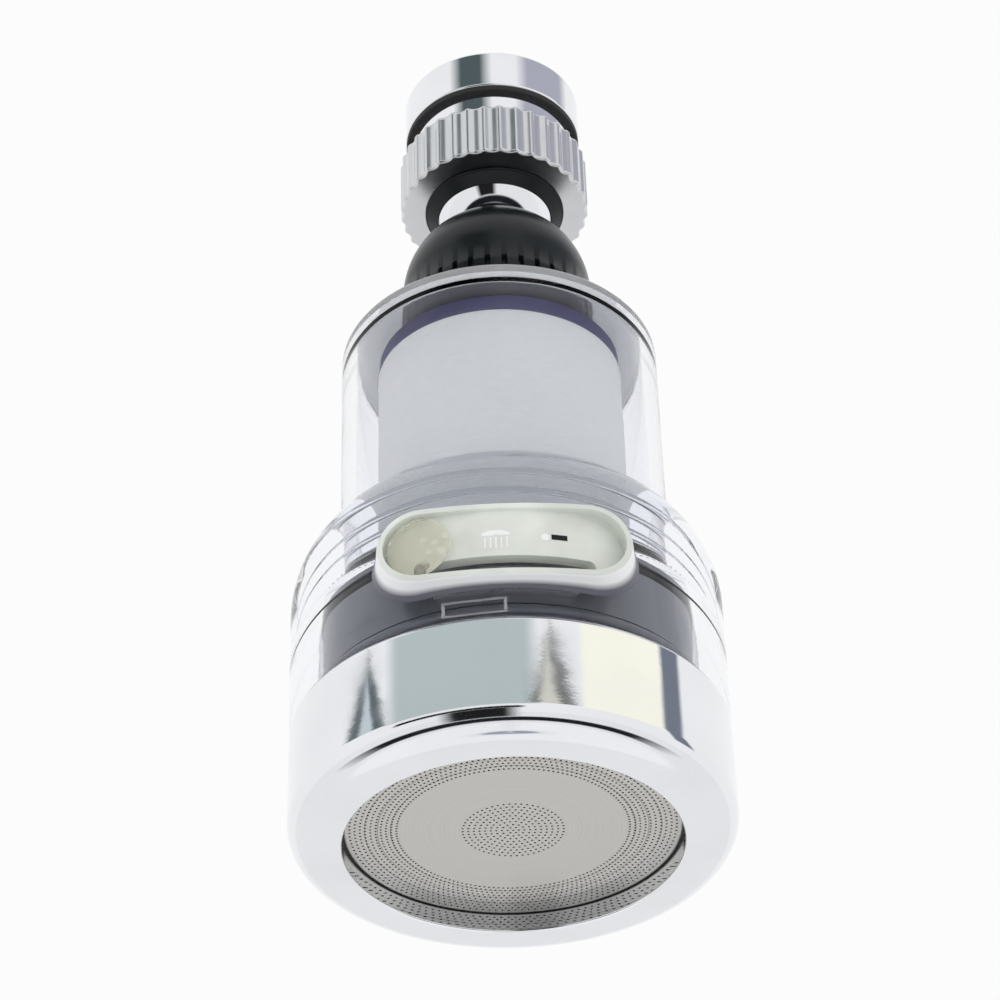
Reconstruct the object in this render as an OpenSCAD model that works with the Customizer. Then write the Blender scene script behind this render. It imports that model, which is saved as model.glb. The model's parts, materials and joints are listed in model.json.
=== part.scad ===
// Swivel faucet aerator with a filter, a ball joint and a three-way mode button.
// Heights are counted up from the outlet face. hang() then moves every piece down,
// so that the origin lies at the mouth of the tap thread and the outlet points down.

/* [Tap connector] */
// Nominal diameter of the tap thread that screws into the collar
tap_thread_d = 22; // [21:0.25:23]
// Pitch of the tap thread
tap_pitch = 1; // [0.75:0.25:1.25]
// Depth of the threaded mouth
tap_thread_depth = 5.5; // [4.5:0.25:8]
// Wall of the collar outside the thread
collar_wall = 1.95; // [1.6:0.05:2.6]
// Height of the plain chrome band
band_h = 6.6; // [6:0.1:9]
// Height of the groove between the band and the nut
groove_h = 4.4; // [3.6:0.1:6]
// Height of the fluted nut
nut_h = 8.8; // [8:0.1:12]
// Outer radius of the fluted nut
nut_r = 13.2; // [12.8:0.1:15]
// Number of flutes on the nut
flutes = 36; // [24:2:40]
// Thickness of the tap washer
tap_washer_t = 1.6; // [1.2:0.1:2]

/* [Ball joint] */
// Radius of the ball
ball_r = 9; // [8.6:0.05:9.2]
// Radius of the water bore through the ball
bore_r = 4.2; // [3:0.1:4.5]
// Radius of the neck under the ball
neck_r = 5.6; // [5:0.1:5.8]
// Height of the ball's centre above the top of the flange
ball_reach = 14.1; // [13.6:0.1:18]
// How far the flange at the foot of the stem stands out past the ball
flange_over_ball = 0.9; // [0.6:0.05:1.6]
// Gap round that flange
flange_gap = 0.35; // [0.2:0.05:0.6]
// Thickness of the flange
flange_t = 2.8; // [2:0.1:3.5]
// Gap between the ball and its seats
ball_fit = 0.08; // [0.05:0.01:0.1]

/* [Cap nut] */
// Wall of the cap nut outside the spigot's thread
capnut_wall = 2.7; // [2.2:0.1:3]
// Height of the straight skirt under the dome
capnut_skirt_h = 11.7; // [11.2:0.1:14]
// Width of the dome's rounding, from its flat top to its side
dome_round = 4.45; // [4:0.05:5]
// Number of grip ribs
grip_ribs = 36; // [24:2:40]
// Width of the grooves between the ribs
rib_groove_w = 0.55; // [0.4:0.05:0.8]
// Height of the grip ribs
rib_h = 8.3; // [6:0.1:9]

/* [Filter tube] */
// Outer radius of the upper clear tube
tube_r = 21.2; // [20.8:0.1:24]
// Wall of the clear tube
tube_wall = 2; // [1.6:0.1:2.4]
// Height of the tube that shows above the lower shell
tube_h = 31.1; // [26:0.1:50]
// Thickness of the tube's flat top
tube_top_t = 1.6; // [1.2:0.1:3]
// Gap for the water round the cartridge
cartridge_gap = 2.9; // [2:0.1:5]

/* [Lower shell] */
// Outer radius of the lower shell
shell_r = 27.4; // [27:0.1:30]
// Height from the cap's seam to the ledge that the filter stands on
chamber_h = 16.6; // [16.6:0.1:24]
// Height from that ledge to the top of the shell
collar_h = 12.1; // [10:0.1:16]
// Wall of the lower shell
shell_wall = 4.2; // [3.4:0.1:4.5]
// How far the boss's face stands out of the shell
boss_proud = 2; // [1.8:0.1:4]
// Depth from the ledge to the mode button's centre
button_drop = 7; // [6.8:0.1:9]
// Half the angle between the two ends of the button's travel
mode_half_angle = 20; // [16:1:22]
// Radius of the mode button
button_r = 3.9; // [3:0.1:4.2]

/* [Outlet cap] */
// Height of the chrome cap
cap_h = 15.1; // [14.9:0.1:20]
// Width of the rim round the spray disc
outlet_rim = 6.65; // [6:0.05:9]
// Radius of the rounded bottom edge
cap_edge_r = 3.5; // [1.5:0.1:5]
// Thickness of the lip under the spray disc
lip_t = 2.6; // [1.6:0.1:3]
// Thickness of the spray disc
disc_t = 0.5; // [0.3:0.1:0.8]
// Distance between the spray disc's rows of holes
spray_pitch = 2; // [1.8:0.1:3]
// Radius of the holes in the spray disc
spray_hole_r = 0.3; // [0.2:0.05:0.5]

/* [Hidden] */
$fn = 96;
// A cut runs this far past the face that it starts from
past = 1;

// Gaps between pieces
seam_gap = 0.3;
thread_gap = 0.1;
drop_in_gap = 0.3;
running_gap = 0.3;
pin_gap = 0.2;
press_gap = 0.02;
touch_gap = 0.05;

// Outlet end, from the outlet face up
cap_r = shell_r - 0.05;
outlet_r = cap_r - outlet_rim;
chamber_r = shell_r - shell_wall;
cap_wall = 2.45;
cap_bore_r = cap_r - cap_wall;
skirt_r = cap_bore_r - thread_gap;
skirt_in_cap = 8.8;
disc_r = chamber_r - drop_in_gap;
seat_bore_r = chamber_r + drop_in_gap;
z_shell = cap_h + seam_gap;
z_skirt = z_shell - skirt_in_cap - seam_gap;
z_disc = lip_t;
z_gasket = z_disc + disc_t;
gasket_t = 1.2;
z_core = z_gasket + gasket_t;
core_wall_h = 3.7;
deck_t = 3;
z_deck = z_core + core_wall_h;
z_seal = z_deck + deck_t;
seal_t = 1.2;
z_rotor = z_seal + seal_t;
rotor_t = 2.8;
core_r = chamber_r - drop_in_gap;
zone_wall_t = 1.2;
spray_margin = 1.2;
hub_r = 3.2;
zone_w = (outlet_r - hub_r) / 3;
zone_r = [hub_r + zone_w, hub_r + 2 * zone_w];
port_r = [for (zone = [0 : 2]) hub_r + zone_w * (zone + 0.5)];
port_hole_r = 1;
port_slot_w = 2;
port_sets = 3;
seal_hole_r = 2.6;

// Lower shell
z_ledge = z_shell + chamber_h;
ledge_t = 2;
ledge_w = 5.4;
ledge_r = tube_r - ledge_w;
z_shell_top = z_ledge + collar_h;
shoulder_start = z_ledge + 1;
shoulder_in = shell_r - tube_r - 0.3;
shoulder_up = z_shell_top - shoulder_start;
shoulder_r = (shoulder_in * shoulder_in + shoulder_up * shoulder_up) / (2 * shoulder_in);
tube_thread_r = tube_r - 0.6;
shell_thread_r = tube_thread_r + thread_gap;

// Boss and mode button
boss_r = shell_r + boss_proud;
z_button = z_ledge - button_drop;
track_depth = 0.5;
track_gap = 0.4;
track_half_h = button_r + track_gap;
track_half_w = boss_r * sin(mode_half_angle) + track_half_h;
boss_rim = 0.8;
boss_foot = 0.8;
boss_foot_proud = 0.7;
// The boss's face curves less than the shell, so that its ends stand out further
boss_curve_r = 2.2 * shell_r;
pin_r = 0.7;
pin_drop = 3.1;
z_pin = z_button - pin_drop;
slot_half_h = pin_r + pin_gap;
track_r = boss_r - track_depth;
button_base_r = track_r + running_gap;
button_t = 1.1;

// Rotor
drum_r = chamber_r - 0.4;
drum_wall = 1.8;
z_drum_top = z_ledge - ledge_t - running_gap;
selector_cord_r = 0.7;
groove_gap = 0.1;
selector_ring_r = chamber_r - 0.05 - selector_cord_r;
z_ring_upper = z_drum_top - 1.5;
ring_below_pin = 3;
z_ring_lower = z_pin - ring_below_pin;
detent_in = 2.3;
detent_r = core_r - detent_in;
detent_groove_d = 0.7;
detent_groove_w = 1.6;
seal_r = detent_r - 2;
detent_ball_r = 1.1;
z_detent = z_rotor - 0.8;
detent_well_r = detent_ball_r + 0.1;
detent_well_h = 2.4;
pivot_r = 1.5;
pivot_head_r = 3.4;
pivot_head_t = 1.6;
wave_t = 0.6;
z_wave = z_rotor + rotor_t;

// Filter
oring_cord_r = 0.8;
z_tube = z_ledge + 2 * oring_cord_r;
z_tube_top = z_shell_top + tube_h;
tube_bore_r = tube_r - tube_wall;
cartridge_r = tube_bore_r - cartridge_gap;
z_plate = z_tube_top - tube_top_t;
foot_leg_h = 2;
foot_t = 2;
foot_legs = 6;
foot_leg_w = 4;
foot_spigot_h = 3;
foot_spigot_wall = 1.4;
z_foot = z_ledge + foot_leg_h;
z_filter = z_foot + foot_t;
violet_t = 2.4;
z_violet = z_plate - violet_t;
core_tube_r = 7;
core_port_r = 1.2;
core_port_pitch = 6;
core_port_start = 5;
core_port_end = 4;
core_tube_wall = 0.9;
foot_spigot_r = core_tube_r - core_tube_wall - 0.1;

// Cap nut and stem
flange_r = ball_r + flange_over_ball;
spigot_r = flange_r + flange_gap;
tube_spigot_wall = 2.75;
spigot_bore_r = spigot_r - tube_spigot_wall;
capnut_r = spigot_r + capnut_wall;
dome_flat_r = capnut_r - dome_round;
rib_r = capnut_r + 0.15;
rib_foot_r = capnut_r - 0.75;
spigot_h = 11.4;
z_spigot_top = z_tube_top + spigot_h;
flange_gasket_t = 2;
z_flange = z_spigot_top + flange_gasket_t;
slip_t = 0.6;
z_slip = z_flange + flange_t;
z_dome = z_tube_top + capnut_skirt_h;
z_dome_top = z_dome + sqrt(capnut_r * capnut_r - dome_flat_r * dome_flat_r);
z_ball = z_slip + ball_reach;

// Tap connector, from the ball up
thread_bore_r = tap_thread_d / 2 - 0.5413 * tap_pitch;
collar_r = thread_bore_r + collar_wall;
nut_below_ball = 2.8;
z_nut = z_ball - nut_below_ball;
z_groove = z_nut + nut_h;
z_band = z_groove + groove_h;
z_mouth = z_band + band_h;
lip_h = 1.6;
z_retainer = z_nut + lip_h;
retainer_nose = 1.5;
retainer_nose_r = ball_r + 0.05;
socket_r = ball_r + ball_fit;
seat_r = ball_r + 1;
collar_bore_r = seat_r + 0.1;
spigot_wall = 1.1;
collar_spigot_r = collar_bore_r + spigot_wall;
nut_bore_r = collar_spigot_r + thread_gap / 2;
groove_r = collar_spigot_r + 0.3;
seat_mouth_r = 6.6;
seat_h = 6.9;
z_seat_top = z_ball + seat_h;
seat_cord_r = 0.85;
seat_ring_mean_r = 8.7;
z_collar_ledge = z_seat_top + 2 * seat_cord_r + 0.05;
collar_ledge_r = 7.2;
strainer_t = 0.3;
z_strainer = z_mouth - tap_thread_depth - tap_washer_t - strainer_t;
flute_r = 1.5;
flute_depth = 0.35;

// Moves a piece from outlet heights to the frame of the tap thread
module hang() translate([0, 0, -z_mouth]) children();

// A ring or disc with square corners
module ring(z, h, outer, inner = 0) {
    translate([0, 0, z]) difference() {
        cylinder(h = h, r = outer);
        if (inner > 0) translate([0, 0, -past]) cylinder(h = h + 2 * past, r = inner);
    }
}

// A ring of round cord
module cord_ring(z, mean, cord) {
    translate([0, 0, z]) rotate_extrude() translate([mean, 0]) circle(r = cord, $fn = 32);
}

// Points a flat outline's up direction along the axis and sends its thickness to the front
module at_front(angle, z, r) {
    rotate([0, 0, angle]) translate([0, -r, z]) rotate([90, 0, 0]) children();
}

// A slot-shaped outline, wider than it is high
module pill(half_w, half_h) {
    square([2 * (half_w - half_h), 2 * half_h], center = true);
    for (side = [-1, 1]) translate([side * (half_w - half_h), 0]) circle(r = half_h, $fn = 64);
}

module tap_collar() color("silver") hang() {
    difference() {
        union() {
            ring(z_band, band_h, collar_r);
            ring(z_ball, z_groove - z_ball, collar_spigot_r);
            ring(z_groove, groove_h, groove_r);
        }
        ring(z_mouth - tap_thread_depth, tap_thread_depth + past, thread_bore_r);
        ring(z_strainer, z_mouth - z_strainer, thread_bore_r - 0.2);
        ring(z_ball - past, z_collar_ledge - z_ball + past, collar_bore_r);
        ring(z_ball, z_mouth - z_ball, collar_ledge_r);
    }
}

module tap_washer() color("dimgray") hang()
    ring(z_strainer + strainer_t, tap_washer_t, thread_bore_r - 0.3, collar_ledge_r);

module inlet_strainer() color("lightgray") hang() difference() {
    ring(z_strainer, strainer_t, thread_bore_r - 0.6);
    for (row = [0 : 2], k = [0 : 6 * max(row, 0.2) - 1])
        rotate([0, 0, 360 * k / max(6 * row, 1)]) translate([2.1 * row, 0, z_strainer - past])
            cylinder(h = strainer_t + 2 * past, r = 0.7, $fn = 16);
}

module swivel_nut() color("silver") hang() difference() {
    ring(z_nut, nut_h, nut_r);
    ring(z_nut - past, nut_h + 2 * past, retainer_nose_r + thread_gap);
    ring(z_retainer, nut_h, nut_bore_r);
    for (k = [0 : flutes - 1]) rotate([0, 0, 360 * k / flutes])
        translate([nut_r + flute_r - flute_depth, 0, z_nut - past])
            cylinder(h = nut_h + 2 * past, r = flute_r, $fn = 32);
}

module retainer_ring() color([0.1, 0.1, 0.11]) hang() difference() {
    union() {
        ring(z_retainer, z_ball - z_retainer, nut_bore_r - thread_gap);
        ring(z_nut - retainer_nose, z_retainer - z_nut + retainer_nose, retainer_nose_r);
    }
    translate([0, 0, z_ball]) sphere(r = socket_r);
}

module seat_ring() color("whitesmoke") hang() difference() {
    ring(z_ball + running_gap, z_seat_top - z_ball - running_gap, seat_r, seat_mouth_r);
    translate([0, 0, z_ball]) sphere(r = socket_r);
}

module seat_oring() color([0.12, 0.12, 0.12]) hang()
    cord_ring(z_seat_top + seat_cord_r, seat_ring_mean_r, seat_cord_r);

module ball_stem() color("silver") hang() difference() {
    union() {
        translate([0, 0, z_ball]) sphere(r = ball_r);
        ring(z_slip, z_ball - z_slip, neck_r);
        ring(z_flange, flange_t, flange_r);
    }
    ring(z_flange - past, z_ball + 2 * ball_r - z_flange, bore_r);
}

module slip_washer() color("ivory") hang()
    ring(z_slip, slip_t, spigot_r - 0.2, neck_r + 0.15);

module cap_nut() color([0.14, 0.17, 0.18]) hang() difference() {
    union() {
        ring(z_tube_top + seam_gap, z_dome - z_tube_top - seam_gap, rib_foot_r);
        ring(z_tube_top + rib_h, z_dome - z_tube_top - rib_h, capnut_r);
        intersection() {
            translate([0, 0, z_dome]) sphere(r = capnut_r);
            ring(z_dome, z_dome_top - z_dome, capnut_r);
        }
        for (k = [0 : grip_ribs - 1]) rotate([0, 0, 360 * k / grip_ribs]) grip_rib();
    }
    ring(z_tube_top - past, z_slip + slip_t - z_tube_top + past, spigot_r + thread_gap);
    ring(z_slip, z_dome_top - z_slip + past, neck_r + 0.6);
}

// One grip rib, rounded to the nut's own radius outside
module grip_rib() {
    width = 2 * PI * rib_r / grip_ribs - rib_groove_w;
    intersection() {
        ring(z_tube_top + seam_gap, rib_h, rib_r, spigot_r + 0.8);
        translate([0, -width / 2, z_tube_top]) cube([capnut_r * 2, width, rib_h + 2]);
    }
}

module flange_gasket() color([0.12, 0.12, 0.12]) hang()
    ring(z_spigot_top, flange_gasket_t, spigot_r - 0.2, spigot_bore_r - 1.5);

module filter_tube() color([0.85, 0.9, 0.93, 0.4]) hang() difference() {
    union() {
        rotate_extrude() tube_section();
        ring(z_tube, z_shell_top - z_tube + past, tube_thread_r);
        ring(z_tube_top - tube_top_t, spigot_h + tube_top_t, spigot_r);
    }
    ring(z_tube - past, z_plate - z_tube + past, tube_bore_r);
    ring(z_plate - past, spigot_h + tube_top_t + 2 * past, spigot_bore_r);
}

// Half section of the tube's visible part, with its rounded top edge
module tube_section() {
    edge = 1.4;
    translate([0, z_shell_top + touch_gap]) square([tube_r - edge, tube_h - touch_gap]);
    translate([0, z_shell_top + touch_gap]) square([tube_r, tube_h - edge - touch_gap]);
    translate([tube_r - edge, z_tube_top - edge]) circle(r = edge, $fn = 48);
}

module cartridge_gasket() color([0.32, 0.3, 0.46]) hang()
    ring(z_violet, violet_t, cartridge_r - 0.2, cartridge_r - 4);

module filter_element() color("white") hang()
    ring(z_filter, z_violet - z_filter, cartridge_r, core_tube_r + touch_gap);

module filter_core() color("gainsboro") hang() difference() {
    ring(z_filter, z_violet - z_filter, core_tube_r, core_tube_r - core_tube_wall);
    rows = floor((z_violet - z_filter - core_port_end) / core_port_pitch);
    for (row = [0 : rows - 1], k = [0 : 3])
        translate([0, 0, z_filter + core_port_start + core_port_pitch * row])
            rotate([0, 90, 90 * k + 45 * (row % 2)])
                cylinder(h = core_tube_r + past, r = core_port_r, $fn = 24);
}

module cartridge_foot() color("gainsboro") hang() {
    ring(z_foot, foot_t, cartridge_r + 0.3);
    ring(z_filter, foot_spigot_h, foot_spigot_r, foot_spigot_r - foot_spigot_wall);
    for (k = [0 : foot_legs - 1]) rotate([0, 0, 360 * k / foot_legs]) intersection() {
        ring(z_ledge, foot_leg_h + foot_t / 2, tube_bore_r - drop_in_gap, ledge_r - past);
        translate([0, -foot_leg_w / 2, z_ledge]) cube([tube_r, foot_leg_w, foot_leg_h + foot_t]);
    }
}

module tube_oring() color([0.12, 0.12, 0.12]) hang()
    cord_ring(z_ledge + oring_cord_r, (tube_bore_r + tube_thread_r) / 2, oring_cord_r);

module lower_shell() color([0.82, 0.87, 0.9, 0.4]) hang() difference() {
    union() {
        rotate_extrude() shell_section();
        boss();
    }
    ring(z_skirt - past, z_ledge - ledge_t - z_skirt + past, chamber_r);
    ring(z_ledge - ledge_t - past, collar_h + ledge_t + 2 * past, ledge_r);
    ring(z_ledge, collar_h + past, shell_thread_r);
    track();
    slot();
}

// Half section of the lower shell's outside: skirt, wall and rounded shoulder
module shell_section() {
    translate([0, z_skirt]) square([skirt_r, skirt_in_cap + past]);
    translate([0, z_shell]) square([shell_r, shoulder_start - z_shell]);
    intersection() {
        translate([shell_r - shoulder_r, shoulder_start]) circle(r = shoulder_r, $fn = 128);
        translate([0, shoulder_start]) square([shell_r, shoulder_up]);
    }
}

// Raised boss that the button's track lies in, on a lower and wider step
module boss() {
    boss_step(boss_rim, boss_proud);
    boss_step(boss_rim + boss_foot, boss_foot_proud);
}

// One step of the boss: this margin round the track, and how far its face stands out of the shell
module boss_step(margin, proud) {
    intersection() {
        at_front(0, z_button, ledge_r)
            linear_extrude(boss_r) pill(track_half_w + margin, track_half_h + margin);
        translate([0, boss_curve_r - shell_r - proud, 0])
            ring(z_shell, z_shell_top - z_shell, boss_curve_r);
    }
}

// Shallow pill-shaped track in the face of the boss
module track() {
    intersection() {
        at_front(0, z_button, chamber_r) linear_extrude(boss_r) pill(track_half_w, track_half_h);
        ring(z_shell, z_shell_top - z_shell, 2 * boss_r, track_r);
    }
}

// Slot through the wall for the button's pin, along the track's lower edge
module slot() {
    rotate([0, 0, -90 - mode_half_angle]) rotate_extrude(angle = 2 * mode_half_angle)
        translate([chamber_r - past, z_pin - slot_half_h]) square([boss_r, 2 * slot_half_h]);
    for (side = [-1, 1]) at_front(side * mode_half_angle, z_pin, chamber_r - past)
        cylinder(h = boss_r, r = slot_half_h, $fn = 48);
}

module outlet_cap() color("silver") hang() difference() {
    rotate_extrude() cap_section();
    ring(-past, cap_h, outlet_r);
    ring(lip_t, cap_h, seat_bore_r);
    ring(z_skirt - seam_gap, cap_h, cap_bore_r);
}

// Half section of the cap's outside, with its rounded bottom edge
module cap_section() {
    square([cap_r - cap_edge_r, cap_h]);
    translate([0, cap_edge_r]) square([cap_r, cap_h - cap_edge_r]);
    translate([cap_r - cap_edge_r, cap_edge_r]) circle(r = cap_edge_r, $fn = 64);
}

module spray_disc() color([0.74, 0.74, 0.7]) hang() translate([0, 0, z_disc])
    linear_extrude(disc_t) difference() {
        circle(r = disc_r);
        for (row = [1 : floor((outlet_r - spray_margin) / spray_pitch)], k = [0 : 6 * row - 1])
            rotate(60 * k / row) translate([row * spray_pitch, 0]) circle(r = spray_hole_r, $fn = 16);
    }

module disc_gasket() color([0.12, 0.12, 0.12]) hang()
    ring(z_gasket, gasket_t, disc_r, outlet_r + 0.2);

module jet_core() color("whitesmoke") hang() difference() {
    union() {
        ring(z_deck, deck_t, core_r);
        ring(z_core, core_wall_h, core_r, outlet_r + 0.2);
        for (r = zone_r) ring(z_gasket, z_deck - z_gasket, r + zone_wall_t, r);
        ring(z_gasket + 1, z_deck - z_gasket - 1, pivot_r + 1.6);
    }
    ports(z_deck);
    ring(z_gasket + 2, z_seal, pivot_r);
    detent_place() ring(z_seal - detent_well_h, detent_well_h + past, detent_well_r);
}

// One hole for each mode and each set, each into its own zone of the spray disc
module ports(z) {
    for (set = [0 : port_sets - 1], mode = [0 : 2])
        rotate([0, 0, 360 * set / port_sets + mode_half_angle * mode])
            translate([0, -port_r[mode], z - past])
                cylinder(h = deck_t + 2 * past, r = port_hole_r, $fn = 24);
}

module port_seal() color([0.13, 0.13, 0.13]) hang() difference() {
    ring(z_seal, seal_t, seal_r, seal_hole_r);
    ports(z_seal);
}

module detent_place() rotate([0, 0, 30]) translate([0, -detent_r, 0]) children();

module detent_ball() color("silver") hang()
    detent_place() translate([0, 0, z_detent]) sphere(r = detent_ball_r);

module detent_spring() color("gray") hang() detent_place()
    ring(z_seal - detent_well_h, z_detent - detent_ball_r - z_seal + detent_well_h,
        detent_ball_r, detent_ball_r - 0.4);

module pivot_screw() color("silver") hang() {
    ring(z_gasket + 2.2, z_wave + wave_t - z_gasket - 2.2, pivot_r - 0.05);
    difference() {
        ring(z_wave + wave_t, pivot_head_t, pivot_head_r);
        translate([0, 0, z_wave + wave_t + 0.6])
            cylinder(h = pivot_head_t, r = 1.4, $fn = 6);
    }
}

module wave_washer() color("gray") hang()
    ring(z_wave, wave_t, pivot_head_r + 0.4, pivot_r + 0.3);

module mode_button() color([0.9, 0.88, 0.78, 0.6]) hang() {
    at_front(-mode_half_angle, z_button, button_base_r) button_section();
    at_front(-mode_half_angle, z_pin, drum_r - drum_wall + 0.1)
        cylinder(h = button_base_r - drum_r + drum_wall, r = pin_r, $fn = 32);
}

// The button's head: a low disc with a rounded rim
module button_section() {
    edge = 0.5;
    rotate_extrude() {
        square([button_r, button_t - edge]);
        square([button_r - edge, button_t]);
        translate([button_r - edge, button_t - edge]) circle(r = edge, $fn = 32);
    }
}

module rotor() color("gainsboro") hang() difference() {
    union() {
        ring(z_rotor, rotor_t, drum_r);
        ring(z_rotor, z_drum_top - z_rotor, drum_r, drum_r - drum_wall);
    }
    ring(z_rotor - past, rotor_t + 2 * past, pivot_r + running_gap);
    ring(z_rotor - past, past + detent_groove_d, detent_r + detent_groove_w, detent_r - detent_groove_w);
    for (set = [0 : port_sets - 1]) rotate([0, 0, 360 * set / port_sets])
        translate([-port_slot_w / 2, -port_r[2] - 1, z_rotor - past])
            cube([port_slot_w, port_r[2] - port_r[0] + 2, rotor_t + 2 * past]);
    at_front(-mode_half_angle, z_pin, 0) cylinder(h = chamber_r, r = pin_r + press_gap, $fn = 32);
    for (z = [z_ring_upper, z_ring_lower])
        ring(z - selector_cord_r - groove_gap, 2 * (selector_cord_r + groove_gap), drum_r + past,
            selector_ring_r - selector_cord_r);
}

module selector_oring_upper() color([0.12, 0.12, 0.12]) hang()
    cord_ring(z_ring_upper, selector_ring_r, selector_cord_r);

module selector_oring_lower() color([0.12, 0.12, 0.12]) hang()
    cord_ring(z_ring_lower, selector_ring_r, selector_cord_r);

tap_collar();
tap_washer();
inlet_strainer();
swivel_nut();
retainer_ring();
seat_ring();
seat_oring();
ball_stem();
slip_washer();
cap_nut();
flange_gasket();
filter_tube();
cartridge_gasket();
filter_element();
filter_core();
cartridge_foot();
tube_oring();
lower_shell();
outlet_cap();
spray_disc();
disc_gasket();
jet_core();
port_seal();
pivot_screw();
wave_washer();
detent_ball();
detent_spring();
mode_button();
rotor();
selector_oring_upper();
selector_oring_lower();
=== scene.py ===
"""Looks of the swivel faucet aerator: turned chrome, clear moulded shells and a fine-holed spray disc."""

import json
import math

import bmesh
import bpy
from bpy.props import FloatProperty, FloatVectorProperty, IntProperty, PointerProperty
from mathutils import Matrix, Vector


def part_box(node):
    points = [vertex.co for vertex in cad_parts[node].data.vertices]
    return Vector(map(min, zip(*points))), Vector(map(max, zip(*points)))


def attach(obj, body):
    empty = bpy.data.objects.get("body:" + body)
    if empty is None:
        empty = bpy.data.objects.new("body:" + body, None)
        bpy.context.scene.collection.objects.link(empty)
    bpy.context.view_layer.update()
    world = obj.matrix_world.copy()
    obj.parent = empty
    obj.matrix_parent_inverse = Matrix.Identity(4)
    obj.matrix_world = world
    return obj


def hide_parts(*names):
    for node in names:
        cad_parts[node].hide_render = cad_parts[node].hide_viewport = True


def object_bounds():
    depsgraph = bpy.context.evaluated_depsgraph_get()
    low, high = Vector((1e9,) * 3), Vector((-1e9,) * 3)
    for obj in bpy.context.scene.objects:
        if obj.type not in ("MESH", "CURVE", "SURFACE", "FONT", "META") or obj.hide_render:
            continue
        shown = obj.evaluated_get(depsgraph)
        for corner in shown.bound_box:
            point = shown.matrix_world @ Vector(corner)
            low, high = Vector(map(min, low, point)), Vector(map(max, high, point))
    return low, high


bl_info = {
    "name": "Swivel Faucet Aerator",
    "version": (1, 0, 0),
    "blender": (4, 5, 0),
    "location": "View3D > Sidebar > Aerator",
    "description": "Builds the finished pieces of a swivel faucet aerator round its frame",
    "category": "Object",
}

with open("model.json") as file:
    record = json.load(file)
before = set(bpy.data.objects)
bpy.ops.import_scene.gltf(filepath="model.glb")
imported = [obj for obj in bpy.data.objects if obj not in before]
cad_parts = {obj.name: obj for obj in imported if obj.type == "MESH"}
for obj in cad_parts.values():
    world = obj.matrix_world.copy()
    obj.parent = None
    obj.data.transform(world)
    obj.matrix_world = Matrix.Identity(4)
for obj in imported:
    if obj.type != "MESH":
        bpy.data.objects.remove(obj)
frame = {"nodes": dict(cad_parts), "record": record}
CAD_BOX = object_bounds()
MM = 0.001


def low(node):
    """Lowest height of a frame node, in millimetres."""
    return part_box(node)[0].z / MM


def high(node):
    """Highest height of a frame node, in millimetres."""
    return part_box(node)[1].z / MM


def reach(node):
    """Half the width of a frame node, in millimetres."""
    lowest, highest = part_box(node)
    return (highest.x - lowest.x) / 2 / MM


def size(label, text, default, lowest, highest):
    """A length property in millimetres."""
    return FloatProperty(name=label, description=text, default=default, min=lowest, max=highest)


def colour(label, text, default):
    """A colour property."""
    return FloatVectorProperty(
        name=label, description=text, default=default, size=3, subtype="COLOR", min=0.0, max=1.0
    )


class ConnectorSizes(bpy.types.PropertyGroup):
    """Sizes of the tap collar, its nut and the ball joint, in millimetres."""

    thread_bore: size("Thread bore", "Radius of the collar's threaded bore", 10.459, 8.0, 14.0)
    thread_pitch: size("Thread pitch", "Pitch of the tap thread", 1.0, 0.5, 2.0)
    thread_depth: size("Thread depth", "Depth of the threaded mouth", 5.5, 3.0, 9.0)
    groove_height: size("Groove", "Height of the groove between band and nut", 4.4, 1.0, 8.0)
    band_height: size("Band", "Height of the plain band", 6.6, 3.0, 12.0)
    flutes: IntProperty(name="Flutes", description="Flutes round the nut", default=36, min=12, max=48)
    flute_depth: size("Flute depth", "Depth of each flute", 0.35, 0.2, 1.5)
    flute_width: size("Flute width", "Width of each flute", 1.93, 0.5, 3.0)
    ball_radius: size("Ball", "Radius of the ball", 9.0, 6.0, 12.0)
    neck_radius: size("Neck", "Radius of the neck under the ball", 5.6, 3.0, 8.0)
    bore_radius: size("Water bore", "Radius of the bore through the ball", 4.2, 2.0, 6.0)
    grip_ribs: IntProperty(name="Ribs", description="Ribs on the cap nut", default=36, min=4, max=48)
    rib_height: size("Rib height", "Height of the cap nut's ribs", 8.3, 2.0, 12.0)
    rib_groove: size("Rib groove", "Width of the groove between two ribs", 0.55, 0.2, 2.0)


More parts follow.
